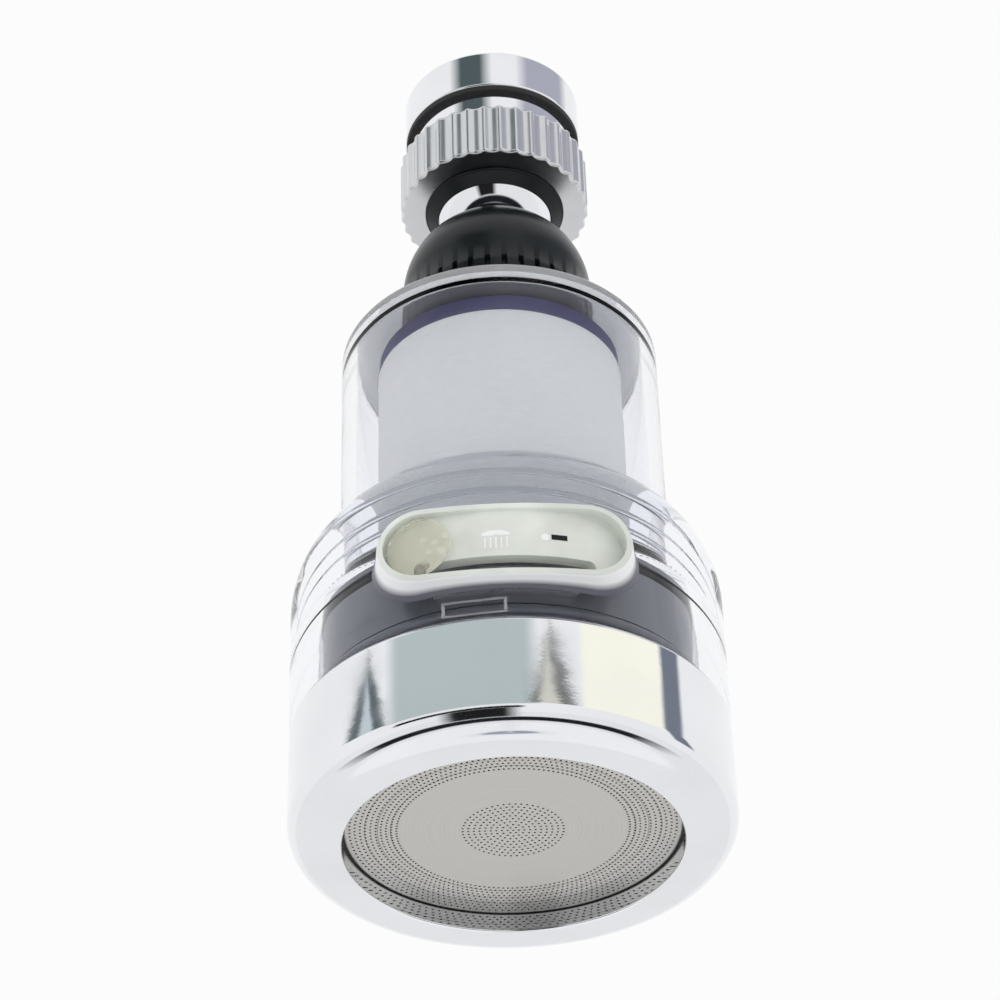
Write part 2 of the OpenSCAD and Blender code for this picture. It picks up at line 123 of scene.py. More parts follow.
class HousingSizes(bpy.types.PropertyGroup):
    """Sizes of the clear shells and the mode boss, in millimetres."""

    tube_wall: size("Tube wall", "Wall of the upper clear tube", 2.0, 1.0, 4.0)
    top_thickness: size("Tube top", "Thickness of the tube's flat top", 1.6, 1.0, 3.0)
    top_edge: size("Tube edge", "Rounding of the tube's top edge", 1.4, 0.3, 2.5)
    chamber_radius: size("Chamber", "Radius of the bore in the lower shell", 23.2, 18.0, 26.0)
    ledge_radius: size("Ledge", "Radius of the hole in the ledge", 15.8, 10.0, 19.0)
    ledge_thickness: size("Ledge thickness", "Thickness of the ledge", 2.0, 1.0, 4.0)
    seam_height: size("Seam", "Height of the shell's wall above the outlet", 15.4, 10.0, 20.0)
    ledge_height: size("Ledge height", "Height of the ledge above the outlet", 32.0, 20.0, 40.0)
    shoulder_height: size("Shoulder", "Height of the shell above the outlet", 44.1, 35.0, 60.0)
    boss_face: size("Boss face", "Radius of the boss's face", 29.4, 27.6, 33.0)
    boss_centre: size("Boss height", "Height of the boss's centre line above the outlet", 25.0, 18.0, 30.0)
    track_width: size("Track half width", "Half the width of the button's track", 14.36, 8.0, 18.0)
    track_height: size("Track half height", "Half the height of the track", 4.3, 2.0, 6.0)
    track_depth: size("Track depth", "Depth of the track", 0.5, 0.1, 1.5)
    boss_rim: size("Boss rim", "Width of the rim round the track", 0.8, 0.3, 2.0)
    boss_foot: size("Boss foot", "Width of the slope round the boss", 0.8, 0.3, 3.0)
    boss_curve: size("Boss curve", "Radius that the boss's face is curved to", 60.28, 35.0, 120.0)
    slot_drop: size("Slot drop", "Depth of the slot's centre below the boss's", 3.1, 1.0, 3.5)
    slot_height: size("Slot height", "Half the height of the slot", 0.9, 0.3, 2.0)
    mode_angle: FloatProperty(
        name="Mode angle", description="Angle between two modes", default=math.radians(20), subtype="ANGLE"
    )


class OutletSizes(bpy.types.PropertyGroup):
    """Sizes of the chrome cap and the spray disc, in millimetres."""

    edge: size("Cap edge", "Rounding of the cap's bottom edge", 3.5, 1.0, 6.0)
    opening: size("Opening", "Radius of the outlet", 20.7, 15.0, 24.0)
    lip: size("Lip", "Thickness of the lip under the disc", 2.6, 1.0, 4.0)
    cap_height: size("Cap height", "Height of the chrome cap", 15.1, 10.0, 20.0)
    hole: size("Hole", "Radius of a spray hole", 0.15, 0.08, 0.5)
    centre_pitch: size("Centre pitch", "Distance between the centre's rings of holes", 0.68, 0.4, 2.0)
    centre_rings: IntProperty(name="Centre rings", description="Rings of holes in the centre", default=9)
    outer_pitch: size("Outer pitch", "Distance between the outer rings of holes", 0.63, 0.4, 2.0)
    outer_rings: IntProperty(name="Outer rings", description="Rings of holes near the rim", default=10)
    outer_count: IntProperty(name="Outer holes", description="Holes in each outer ring", default=150)


class Finishes(bpy.types.PropertyGroup):
    """Colours of the finishes."""

    chrome: colour("Chrome", "Chrome plate", (0.83, 0.845, 0.87))
    clear: colour("Clear plastic", "Clear shells", (0.935, 0.945, 0.97))
    warm_clear: colour("Warm clear", "Mode button", (0.98, 0.97, 0.89))
    panel: colour("Panel", "Satin face of the boss", (0.68, 0.71, 0.66))
    black: colour("Black plastic", "Cap nut and retainer ring", (0.006, 0.009, 0.01))
    white: colour("White plastic", "Inner pieces", (0.88, 0.9, 0.9))
    smoke: colour("Smoke plastic", "Rotor and catch frame", (0.16, 0.167, 0.195))
    fibre: colour("Fibre", "Filter cartridge", (0.97, 0.985, 0.98))
    violet: colour("Violet rubber", "Cartridge gasket", (0.09, 0.085, 0.19))
    rubber: colour("Black rubber", "Seals", (0.018, 0.018, 0.019))
    screen: colour("Screen steel", "Spray disc", (0.58, 0.57, 0.548))
    steel: colour("Steel", "Screw and springs", (0.6, 0.61, 0.62))


def sizes_of(group):
    """The property group of that name on the scene."""
    return getattr(bpy.context.scene, "aerator_" + group)


# Outlines and turned meshes

def rounded(corners, steps=7):
    """Closed outline from (radius, height, fillet) corners, with an arc at each filleted one."""
    outline = []
    for number, (r, z, fillet) in enumerate(corners):
        here = Vector((r, z))
        back = Vector(corners[number - 1][:2]) - here
        ahead = Vector(corners[(number + 1) % len(corners)][:2]) - here
        if not fillet:
            outline.append((r, z))
            continue
        half = back.angle(ahead) / 2
        cut = min(fillet / math.tan(half), back.length * 0.49, ahead.length * 0.49)
        start = here + back.normalized() * cut
        end = here + ahead.normalized() * cut
        middle = here + (back.normalized() + ahead.normalized()).normalized() * cut / math.cos(half)
        first = math.atan2(start.y - middle.y, start.x - middle.x)
        turn = math.remainder(math.atan2(end.y - middle.y, end.x - middle.x) - first, math.tau)
        radius = (start - middle).length
        # A point just before and after the arc keeps the normals of the straight sides true
        outline.append(tuple(start + back.normalized() * min(0.03, back.length * 0.01)))
        for step in range(steps + 1):
            angle = first + turn * step / steps
            outline.append((middle.x + radius * math.cos(angle), middle.y + radius * math.sin(angle)))
        outline.append(tuple(end + ahead.normalized() * min(0.03, ahead.length * 0.01)))
    return outline


def arc(centre_r, centre_z, radius, first, last, steps=24):
    """Points of an arc in the outline plane, with angles in degrees."""
    points = []
    for step in range(steps + 1):
        angle = math.radians(first + (last - first) * step / steps)
        points.append((centre_r + radius * math.cos(angle), centre_z + radius * math.sin(angle)))
    return points


def even_angles(count):
    """That many angles round the axis, from the front."""
    return [math.tau * step / count for step in range(count)]


def turned_mesh(name, outline, angles, shape=None):
    """Mesh of a closed outline turned round the axis. Angle 0 is the front, and shape may move a point."""
    points, faces, rings = [], [], []
    for place, (r, z) in enumerate(outline):
        first = len(points)
        if r < 1e-6:
            points.append((0.0, 0.0, z * MM))
            rings.append([first] * len(angles))
            continue
        for angle in angles:
            radius, height = shape(angle, r, z, place) if shape else (r, z)
            points.append((radius * MM * math.sin(angle), -radius * MM * math.cos(angle), height * MM))
        rings.append(list(range(first, len(points))))
    for ring, following in zip(rings, rings[1:] + rings[:1]):
        for step in range(len(angles)):
            after = (step + 1) % len(angles)
            corners = []
            for corner in (ring[step], ring[after], following[after], following[step]):
                if corner not in corners:
                    corners.append(corner)
            if len(corners) > 2:
                faces.append(corners)
    mesh = bpy.data.meshes.new(name)
    mesh.from_pydata(points, [], faces)
    return mesh


def face_outwards(mesh):
    """Turns a closed mesh's faces outwards."""
    volume = 0.0
    mesh.calc_loop_triangles()
    places = [vertex.co for vertex in mesh.vertices]
    for triangle in mesh.loop_triangles:
        a, b, c = (places[corner] for corner in triangle.vertices)
        volume += a.dot(b.cross(c))
    if volume < 0:
        mesh.flip_normals()


def smooth(mesh, sharp_angle=38):
    """Smooth shading with sharp edges kept."""
    mesh.shade_smooth()
    mesh.set_sharp_from_angle(angle=math.radians(sharp_angle))


def place_piece(name, mesh, body, finish, nodes=()):
    """Adds a finished mesh as a piece on its body, standing for those frame nodes."""
    mesh.materials.clear()
    mesh.materials.append(finish)
    piece = bpy.data.objects.new(name, mesh)
    bpy.context.scene.collection.objects.link(piece)
    if nodes:
        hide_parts(*nodes)
    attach(piece, body)
    return piece


def turned_piece(name, outline, body, finish, nodes=(), angles=None, shape=None):
    """A turned piece of that outline."""
    mesh = turned_mesh(name, outline, angles or even_angles(192), shape)
    face_outwards(mesh)
    smooth(mesh)
    return place_piece(name, mesh, body, finish, nodes)


# Node trees

def add_node(tree, kind, inputs=None, **settings):
    """Adds a node, sets its options, and sets or links its inputs."""
    node = tree.nodes.new(kind)
    for key, value in settings.items():
        setattr(node, key, value)
    for key, value in (inputs or {}).items():
        if isinstance(value, bpy.types.NodeSocket):
            tree.links.new(value, node.inputs[key])
        else:
            node.inputs[key].default_value = value
    return node


def maths(tree, operation, first, second=0.0, clamp=False):
    """Output of a Math node."""
    node = add_node(tree, "ShaderNodeMath", {0: first, 1: second}, operation=operation, use_clamp=clamp)
    return node.outputs[0]


def effect_group(name, inputs, outputs):
    """A new shader node group with float inputs {name: default} and (name, kind) outputs."""
    tree = bpy.data.node_groups.new(name, "ShaderNodeTree")
    for label, default in inputs.items():
        socket = tree.interface.new_socket(label, in_out="INPUT", socket_type="NodeSocketFloat")
        socket.default_value = default
    for label, kind in outputs:
        tree.interface.new_socket(label, in_out="OUTPUT", socket_type=kind)
    return tree, tree.nodes.new("NodeGroupInput"), tree.nodes.new("NodeGroupOutput")


def surface_group():
    """Fine unevenness of a handled surface: a height in metres and a smudge mask."""
    name = "Handled surface"
    if name in bpy.data.node_groups:
        return bpy.data.node_groups[name]
    tree, start, end = effect_group(
        name,
        {"Wave size": 0.004, "Wave height": 0.00001, "Grain size": 0.0003, "Grain height": 0.000001},
        [("Height", "NodeSocketFloat"), ("Smudge", "NodeSocketFloat")],
    )
    place = add_node(tree, "ShaderNodeTexCoord").outputs["Object"]
    heights = []
    for label in ("Wave", "Grain"):
        density = maths(tree, "DIVIDE", 1.0, start.outputs[label + " size"])
        noise = add_node(tree, "ShaderNodeTexNoise", {"Vector": place, "Scale": density, "Detail": 2.0})
        heights.append(maths(tree, "MULTIPLY", noise.outputs["Fac"], start.outputs[label + " height"]))
    smudge = add_node(tree, "ShaderNodeTexNoise", {"Vector": place, "Scale": 90.0, "Detail": 5.0})
    ramp = add_node(tree, "ShaderNodeMapRange", {"Value": smudge.outputs["Fac"], 1: 0.42, 2: 0.7})
    tree.links.new(maths(tree, "ADD", heights[0], heights[1]), end.inputs["Height"])
    tree.links.new(ramp.outputs[0], end.inputs["Smudge"])
    return tree


def ring_group():
    """Turning marks round the axis: a height in metres and a mask."""
    name = "Turned rings"
    if name in bpy.data.node_groups:
        return bpy.data.node_groups[name]
    tree, start, end = effect_group(
        name,
        {"Ring size": 0.0002, "Ring height": 0.000002},
        [("Height", "NodeSocketFloat"), ("Mask", "NodeSocketFloat")],
    )
    place = add_node(tree, "ShaderNodeTexCoord").outputs["Object"]
    flat = add_node(tree, "ShaderNodeVectorMath", {0: place, 1: (1.0, 1.0, 0.0)}, operation="MULTIPLY")
    distance = add_node(tree, "ShaderNodeVectorMath", {0: flat.outputs[0]}, operation="LENGTH")
    density = maths(tree, "DIVIDE", 1.0, start.outputs["Ring size"])
    along = maths(tree, "MULTIPLY", distance.outputs["Value"], density)
    noise = add_node(tree, "ShaderNodeTexNoise", {"W": along, "Scale": 1.0, "Detail": 3.0}, noise_dimensions="1D")
    tree.links.new(maths(tree, "MULTIPLY", noise.outputs["Fac"], start.outputs["Ring height"]), end.inputs["Height"])
    tree.links.new(noise.outputs["Fac"], end.inputs["Mask"])
    return tree


def fibre_group():
    """Wound fibres round the axis: a height in metres and a light and dark mask."""
    name = "Wound fibre"
    if name in bpy.data.node_groups:
        return bpy.data.node_groups[name]
    tree, start, end = effect_group(
        name,
        {"Fibre size": 0.0007, "Fibre height": 0.00012},
        [("Height", "NodeSocketFloat"), ("Mask", "NodeSocketFloat")],
    )
    place = add_node(tree, "ShaderNodeTexCoord").outputs["Object"]
    stretch = add_node(tree, "ShaderNodeMapping", {"Vector": place, "Scale": (0.35, 0.35, 1.6)})
    density = maths(tree, "DIVIDE", 1.0, start.outputs["Fibre size"])
    coarse = add_node(
        tree, "ShaderNodeTexNoise",
        {"Vector": stretch.outputs[0], "Scale": density, "Detail": 6.0, "Roughness": 0.65, "Distortion": 0.6},
    )
    tree.links.new(
        maths(tree, "MULTIPLY", coarse.outputs["Fac"], start.outputs["Fibre height"]), end.inputs["Height"]
    )
    tree.links.new(coarse.outputs["Fac"], end.inputs["Mask"])
    return tree


def new_material(name):
    """A new material, its node tree, its Principled shader and its object coordinates."""
    finish = bpy.data.materials.new(name)
    finish.use_nodes = True
    tree = finish.node_tree
    return finish, tree, tree.nodes["Principled BSDF"]


def shade_between(tree, mask, dark, light):
    """Colour that goes from dark to light with the mask."""
    mix = add_node(tree, "ShaderNodeMix", {"Factor": mask}, data_type="RGBA")
    mix.inputs[6].default_value = (*dark, 1.0)
    mix.inputs[7].default_value = (*light, 1.0)
    return mix.outputs[2]


def scaled(tint, factor):
    """A colour made lighter or darker."""
    return tuple(min(1.0, channel * factor) for channel in tint)


def use_effect(tree, shader, group, values, strength=1.0):
    """Places an effect group and feeds its height to the shader's normal."""
    effect = add_node(tree, "ShaderNodeGroup", node_tree=group)
    for label, value in values.items():
        effect.inputs[label].default_value = value
    bump = add_node(tree, "ShaderNodeBump", {"Height": effect.outputs["Height"], "Strength": strength})
    bump.inputs["Distance"].default_value = 1.0
    tree.links.new(bump.outputs[0], shader.inputs["Normal"])
    return effect


def rough_between(tree, shader, mask, smoothest, roughest):
    """Roughness that goes between two values with the mask."""
    spread = add_node(tree, "ShaderNodeMapRange", {"Value": mask, 3: smoothest, 4: roughest})
    tree.links.new(spread.outputs[0], shader.inputs["Roughness"])


def made_once(builder):
    """Keeps the material that a builder makes, so that each is made once."""
    kept = []

    def finish():
        if not kept:
            kept.append(builder())
        return kept[0]

    return finish


def chrome_plate(name, tint, smoothest, roughest):
    """Chrome plate with faint smudges."""
    finish, tree, shader = new_material(name)
    effect = use_effect(tree, shader, surface_group(), {"Wave size": 0.006, "Wave height": 0.000012})
    tree.links.new(
        shade_between(tree, effect.outputs["Smudge"], tint, scaled(tint, 0.96)), shader.inputs["Base Color"]
    )
    shader.inputs["Metallic"].default_value = 1.0
    rough_between(tree, shader, effect.outputs["Smudge"], smoothest, roughest)
    return finish


@made_once
def chrome():
    """Bright chrome of the collar, the ball and the outlet cap."""
    return chrome_plate("chrome_plate", tuple(sizes_of("finishes").chrome), 0.035, 0.09)


@made_once
def satin_chrome():
    """Handled chrome of the fluted nut."""
    return chrome_plate("satin_chrome", scaled(tuple(sizes_of("finishes").chrome), 0.76), 0.2, 0.28)


def clear_plastic(name, tint, roughness, bend=1.2, clearness=1.0):
    """Clear moulded plastic with slight waves of the mould."""
    finish, tree, shader = new_material(name)
    effect = use_effect(tree, shader, surface_group(), {"Wave size": 0.005, "Wave height": 0.00002})
    tree.links.new(
        shade_between(tree, effect.outputs["Smudge"], tint, scaled(tint, 0.985)), shader.inputs["Base Color"]
    )
    shader.inputs["Metallic"].default_value = 0.0
    shader.inputs["Transmission Weight"].default_value = clearness
    shader.inputs["IOR"].default_value = bend
    rough_between(tree, shader, effect.outputs["Smudge"], roughness, roughness + 0.03)
    return finish


@made_once
def clear():
    """Clear shells."""
    return clear_plastic("clear_shell_plastic", tuple(sizes_of("finishes").clear), 0.01)


@made_once
def cloudy_clear():
    """Top of the tube, where the moulding is slightly cloudy."""
    return clear_plastic("cloudy_clear_plastic", scaled(tuple(sizes_of("finishes").clear), 0.8), 0.06, 1.3, 0.68)


@made_once
def warm_clear():
    """Mode button."""
    return clear_plastic("warm_clear_plastic", tuple(sizes_of("finishes").warm_clear), 0.03, 1.25, 0.86)


def moulded(name, tint, smoothest, roughest, grain, gloss=0.5):
    """Opaque moulded plastic or rubber with a fine grain."""
    finish, tree, shader = new_material(name)
    values = {"Wave size": 0.003, "Wave height": 0.000008, "Grain size": 0.00025, "Grain height": grain}
    effect = use_effect(tree, shader, surface_group(), values)
    tree.links.new(
        shade_between(tree, effect.outputs["Smudge"], tint, scaled(tint, 1.25)), shader.inputs["Base Color"]
    )
    shader.inputs["Specular IOR Level"].default_value = gloss
    rough_between(tree, shader, effect.outputs["Smudge"], smoothest, roughest)
    return finish


@made_once
def black_plastic():
    """Cap nut and retainer ring."""
    return moulded("black_plastic", tuple(sizes_of("finishes").black), 0.2, 0.3, 0.000002, 0.2)


@made_once
def panel_plastic():
    """Satin face of the boss, with a painted highlight on its slope and a painted shade line round its foot."""
    finish = moulded("satin_panel", tuple(sizes_of("finishes").panel), 0.3, 0.42, 0.000003)
    tree = finish.node_tree
    shader = tree.nodes["Principled BSDF"]
    shade = shader.inputs["Base Color"].links[0].from_socket
    # The pale tint on the slope is a painted highlight of the light from below, and the dark tint round the foot is
    # painted shade.
    for label, tint in (("slope", (0.93, 0.94, 0.96)), ("edge", (0.1, 0.105, 0.135))):
        mask = add_node(tree, "ShaderNodeAttribute", attribute_name=label)
        mix = add_node(tree, "ShaderNodeMix", {"Factor": mask.outputs["Fac"], 6: shade}, data_type="RGBA")
        mix.inputs[7].default_value = (*tint, 1.0)
        shade = mix.outputs[2]
    tree.links.new(shade, shader.inputs["Base Color"])
    return finish


@made_once
def white_plastic():
    """Inner moulded pieces."""
    return moulded("white_plastic", tuple(sizes_of("finishes").white), 0.35, 0.5, 0.000003)


@made_once
def smoke_plastic():
    """Rotor behind the clear wall, and the lower O-ring of the selector."""
    return moulded("smoke_plastic", tuple(sizes_of("finishes").smoke), 0.3, 0.45, 0.000003)


@made_once
def black_rubber():
    """Seals."""
    return moulded("black_rubber", tuple(sizes_of("finishes").rubber), 0.55, 0.75, 0.000006, 0.3)


@made_once
def violet_rubber():
    """Cartridge gasket."""
    return moulded("violet_rubber", tuple(sizes_of("finishes").violet), 0.5, 0.7, 0.000005)


def turned_metal(name, tint, smoothest, roughest, ring_height):
    """Satin metal with rings of turning or rolling marks."""
    finish, tree, shader = new_material(name)
    effect = use_effect(tree, shader, ring_group(), {"Ring size": 0.00025, "Ring height": ring_height})
    tree.links.new(
        shade_between(tree, effect.outputs["Mask"], scaled(tint, 0.86), scaled(tint, 1.08)),
        shader.inputs["Base Color"],
    )
    shader.inputs["Metallic"].default_value = 1.0
    rough_between(tree, shader, effect.outputs["Mask"], smoothest, roughest)
    return finish


def pressed_ring_group():
    """Pressed rings in a round sheet: a mask of the three rings and a mask of the painted shade round the sheet's rim.
    """
    name = "Pressed rings"
    if name in bpy.data.node_groups:
        return bpy.data.node_groups[name]
    tree, start, end = effect_group(
        name,
        {"First ring": 0.01485, "Ring step": 0.001575, "Ring width": 0.0001, "Shaded rim": 0.0203},
        [("Rings", "NodeSocketFloat"), ("Shaded rim", "NodeSocketFloat")],
    )
    place = add_node(tree, "ShaderNodeTexCoord").outputs["Object"]
    flat = add_node(tree, "ShaderNodeVectorMath", {0: place, 1: (1.0, 1.0, 0.0)}, operation="MULTIPLY")
    distance = add_node(tree, "ShaderNodeVectorMath", {0: flat.outputs[0]}, operation="LENGTH").outputs["Value"]
    steps = maths(tree, "DIVIDE", maths(tree, "SUBTRACT", distance, start.outputs["First ring"]),
                  start.outputs["Ring step"])
    nearest = maths(tree, "MINIMUM", maths(tree, "MAXIMUM", maths(tree, "ROUND", steps), 0.0), 2.0)
    off = maths(tree, "MULTIPLY", maths(tree, "ABSOLUTE", maths(tree, "SUBTRACT", steps, nearest)),
                start.outputs["Ring step"])
    ring = add_node(
        tree, "ShaderNodeMapRange",
        {"Value": off, 1: 0.0, 2: start.outputs["Ring width"], 3: 1.0, 4: 0.0}, interpolation_type="SMOOTHSTEP",
    )
    past_edge = maths(tree, "ADD", start.outputs["Shaded rim"], 0.0002)
    edge = add_node(tree, "ShaderNodeMapRange", {"Value": distance, 1: start.outputs["Shaded rim"], 2: past_edge})
    tree.links.new(ring.outputs[0], end.inputs["Rings"])
    tree.links.new(edge.outputs[0], end.inputs["Shaded rim"])
    return tree


@made_once
def screen_steel():
    """Spray disc and inlet screen."""
    tint = tuple(sizes_of("finishes").screen)
    finish = turned_metal("screen_steel", tint, 0.38, 0.5, 0.000003)
    tree = finish.node_tree
    shader = tree.nodes["Principled BSDF"]
    pressed = add_node(tree, "ShaderNodeGroup", node_tree=pressed_ring_group())
    plain = shader.inputs["Base Color"].links[0].from_socket
    ringed = add_node(tree, "ShaderNodeMix", {"Factor": pressed.outputs["Rings"], 6: plain}, data_type="RGBA")
    ringed.inputs[7].default_value = (*scaled(tint, 0.45), 1.0)
    # Painted shade round the disc's rim, where it meets the cap's lip.
    rim_shaded = add_node(
        tree, "ShaderNodeMix", {"Factor": pressed.outputs["Shaded rim"], 6: ringed.outputs[2]}, data_type="RGBA"
    )
    rim_shaded.inputs[7].default_value = (*scaled(tint, 0.06), 1.0)
    tree.links.new(rim_shaded.outputs[2], shader.inputs["Base Color"])
    return finish


@made_once
def plain_steel():
    """Screw, springs and detent ball."""
    return turned_metal("plain_steel", tuple(sizes_of("finishes").steel), 0.2, 0.34, 0.000002)


@made_once
def filter_fibre():
    """Melt-blown fibre of the cartridge."""
    finish, tree, shader = new_material("filter_fibre")
    tint = tuple(sizes_of("finishes").fibre)
    effect = use_effect(tree, shader, fibre_group(), {})
    tree.links.new(
        shade_between(tree, effect.outputs["Mask"], scaled(tint, 0.9), scaled(tint, 1.06)),
        shader.inputs["Base Color"],
    )
    shader.inputs["Roughness"].default_value = 0.92
    shader.inputs["Sheen Weight"].default_value = 0.2
    return finish


# Geometry Nodes trees

def geometry_tree(name, inputs):
    """A new geometry node tree with float inputs {name: default} and its ends."""
    tree = bpy.data.node_groups.new(name, "GeometryNodeTree")
    tree.interface.new_socket("Geometry", in_out="OUTPUT", socket_type="NodeSocketGeometry")
    for label, default in inputs.items():
        kind = "NodeSocketInt" if isinstance(default, int) else "NodeSocketFloat"
        socket = tree.interface.new_socket(label, in_out="INPUT", socket_type=kind)
        socket.default_value = default
    return tree, tree.nodes.new("NodeGroupInput"), tree.nodes.new("NodeGroupOutput")


def end_tree(tree, end, geometry, finish):
    """Realizes the instances, sets the material and ends the tree."""
    real = add_node(tree, "GeometryNodeRealizeInstances", {0: geometry})
    painted = add_node(tree, "GeometryNodeSetMaterial", {"Geometry": real.outputs[0], "Material": finish})
    tree.links.new(painted.outputs[0], end.inputs[0])


def grown_mesh(name, tree, values):
    """Plain mesh that a geometry node tree makes with those input values."""
    carrier = bpy.data.objects.new(name + "_carrier", bpy.data.meshes.new(name + "_carrier"))
    bpy.context.scene.collection.objects.link(carrier)
    grower = carrier.modifiers.new("Grow", "NODES")
    grower.node_group = tree
    for item in tree.interface.items_tree:
        if item.item_type == "SOCKET" and item.in_out == "INPUT" and item.name in values:
            grower[item.identifier] = values[item.name]
    evaluated = carrier.evaluated_get(bpy.context.evaluated_depsgraph_get())
    mesh = bpy.data.meshes.new_from_object(evaluated)
    carrier.modifiers.remove(grower)
    bpy.data.objects.remove(carrier)
    mesh.name = name
    return mesh


def gmath(tree, operation, first, second=0.0):
    """Output of a Math node in a geometry tree."""
    return add_node(tree, "ShaderNodeMath", {0: first, 1: second}, operation=operation).outputs[0]


def ring_points(tree, count, ring, angle, first_radius, pitch):
    """Points on rings, from each point's ring number and angle."""
    radius = gmath(tree, "ADD", first_radius, gmath(tree, "MULTIPLY", ring, pitch))
    place = add_node(
        tree, "ShaderNodeCombineXYZ",
        {
            0: gmath(tree, "MULTIPLY", radius, gmath(tree, "COSINE", angle)),
            1: gmath(tree, "MULTIPLY", radius, gmath(tree, "SINE", angle)),
        },
    )
    return add_node(tree, "GeometryNodePoints", {"Count": count, "Position": place.outputs[0]}).outputs[0]


def perforated_tree(finish):
    """A round plate with a centre field and an outer band of holes, all cut through."""
    inputs = {
        "Plate radius": 0.02, "Thickness": 0.0005, "Hole radius": 0.0002, "Height": 0.0,
        "Centre rings": 7, "Centre pitch": 0.0009,
        "Outer rings": 6, "Outer holes": 120, "Outer pitch": 0.0009, "Outer radius": 0.014,
    }
    tree, start, end = geometry_tree("Perforated plate", inputs)
    value = start.outputs
    index = add_node(tree, "GeometryNodeInputIndex").outputs[0]
    # Ring k of the centre field holds 6k holes, so ring k starts at point 3k(k-1)+1
    inner_root = gmath(tree, "SQRT", gmath(tree, "ADD", gmath(tree, "MULTIPLY", index, 12.0), 9.0))
    ring = gmath(tree, "CEIL", gmath(tree, "DIVIDE", gmath(tree, "SUBTRACT", inner_root, 3.001), 6.0))
    before = gmath(tree, "MULTIPLY", gmath(tree, "MULTIPLY", ring, gmath(tree, "SUBTRACT", ring, 1.0)), 3.0)
    turn = gmath(tree, "DIVIDE", gmath(tree, "SUBTRACT", index, before), gmath(tree, "MAXIMUM", ring, 1.0))
    angle = gmath(tree, "MULTIPLY", turn, math.tau / 6)
    rings = value["Centre rings"]
    holes = gmath(tree, "MULTIPLY", gmath(tree, "MULTIPLY", rings, gmath(tree, "ADD", rings, 1.0)), 3.0)
    centre = ring_points(tree, gmath(tree, "ADD", holes, 1.0), ring, angle, 0.0, value["Centre pitch"])
    band_ring = gmath(tree, "FLOOR", gmath(tree, "DIVIDE", index, value["Outer holes"]))
    band_turn = gmath(tree, "ADD", gmath(tree, "DIVIDE", index, value["Outer holes"]), 0.0)
    stagger = gmath(tree, "DIVIDE", gmath(tree, "MULTIPLY", band_ring, 0.5), value["Outer holes"])
    band_angle = gmath(tree, "MULTIPLY", gmath(tree, "ADD", band_turn, stagger), math.tau)
    band_holes = gmath(tree, "MULTIPLY", value["Outer rings"], value["Outer holes"])
    band = ring_points(tree, band_holes, band_ring, band_angle, value["Outer radius"], value["Outer pitch"])
    points = add_node(tree, "GeometryNodeJoinGeometry")
    for part in (centre, band):
        tree.links.new(part, points.inputs[0])
    hole = add_node(tree, "GeometryNodeCurvePrimitiveCircle", {"Resolution": 10, "Radius": value["Hole radius"]})
    copies = add_node(
        tree, "GeometryNodeInstanceOnPoints", {"Points": points.outputs[0], "Instance": hole.outputs[0]}
    )
    real = add_node(tree, "GeometryNodeRealizeInstances", {0: copies.outputs[0]})
    rim = add_node(tree, "GeometryNodeCurvePrimitiveCircle", {"Resolution": 192, "Radius": value["Plate radius"]})
    outlines = add_node(tree, "GeometryNodeJoinGeometry")
    for part in (real.outputs[0], rim.outputs[0]):
        tree.links.new(part, outlines.inputs[0])
    sheet = add_node(tree, "GeometryNodeFillCurve", {"Curve": outlines.outputs[0]})
    raised = add_node(
        tree, "GeometryNodeExtrudeMesh",
        {"Mesh": sheet.outputs[0], "Offset": (0.0, 0.0, 1.0), "Offset Scale": value["Thickness"], "Individual": False},
    )
    under = add_node(tree, "GeometryNodeFlipFaces", {"Mesh": sheet.outputs[0]})
    both = add_node(tree, "GeometryNodeJoinGeometry")
    for part in (raised.outputs[0], under.outputs[0]):
        tree.links.new(part, both.inputs[0])
    welded = add_node(tree, "GeometryNodeMergeByDistance", {"Geometry": both.outputs[0], "Distance": 1e-7})
    lift = add_node(tree, "ShaderNodeCombineXYZ", {2: value["Height"]})
    lifted = add_node(
        tree, "GeometryNodeTransform", {"Geometry": welded.outputs[0], "Translation": lift.outputs[0]}
    )
    end_tree(tree, end, lifted.outputs[0], finish)
    return tree


def thread_tree(finish):
    """A helical ridge round the axis, closed at both ends."""
    inputs = {"Turns": 5.0, "Radius": 0.01, "Pitch": 0.001, "Ridge": 0.0005, "Bottom": 0.0}
    tree, start, end = geometry_tree("Thread", inputs)
    value = start.outputs
    height = gmath(tree, "MULTIPLY", value["Turns"], value["Pitch"])
    coil = add_node(
        tree, "GeometryNodeCurveSpiral",
        {"Resolution": 96, "Rotations": value["Turns"], "Start Radius": value["Radius"],
         "End Radius": value["Radius"], "Height": height, "Reverse": False},
    )
    upright = add_node(tree, "GeometryNodeSetCurveNormal", {"Curve": coil.outputs[0]}, mode="Z_UP")
    profile = add_node(tree, "GeometryNodeCurvePrimitiveCircle", {"Resolution": 8, "Radius": value["Ridge"]})
    ridge = add_node(
        tree, "GeometryNodeCurveToMesh",
        {"Curve": upright.outputs[0], "Profile Curve": profile.outputs[0], "Fill Caps": True},
    )
    lift = add_node(tree, "ShaderNodeCombineXYZ", {2: value["Bottom"]})
    lifted = add_node(tree, "GeometryNodeTransform", {"Geometry": ridge.outputs[0], "Translation": lift.outputs[0]})
    end_tree(tree, end, lifted.outputs[0], finish)
    return tree


def thread_piece(name, radius, bottom, height, pitch, ridge, body, finish):
    """A threaded ridge between two heights, all in millimetres."""
    values = {
        "Turns": (height - 2 * ridge) / pitch, "Radius": radius * MM, "Pitch": pitch * MM,
        "Ridge": ridge * MM, "Bottom": (bottom + ridge) * MM,
    }
    mesh = grown_mesh(name, thread_tree(finish), values)
    face_outwards(mesh)
    smooth(mesh, 60)
    return place_piece(name, mesh, body, finish)


# Tap connector

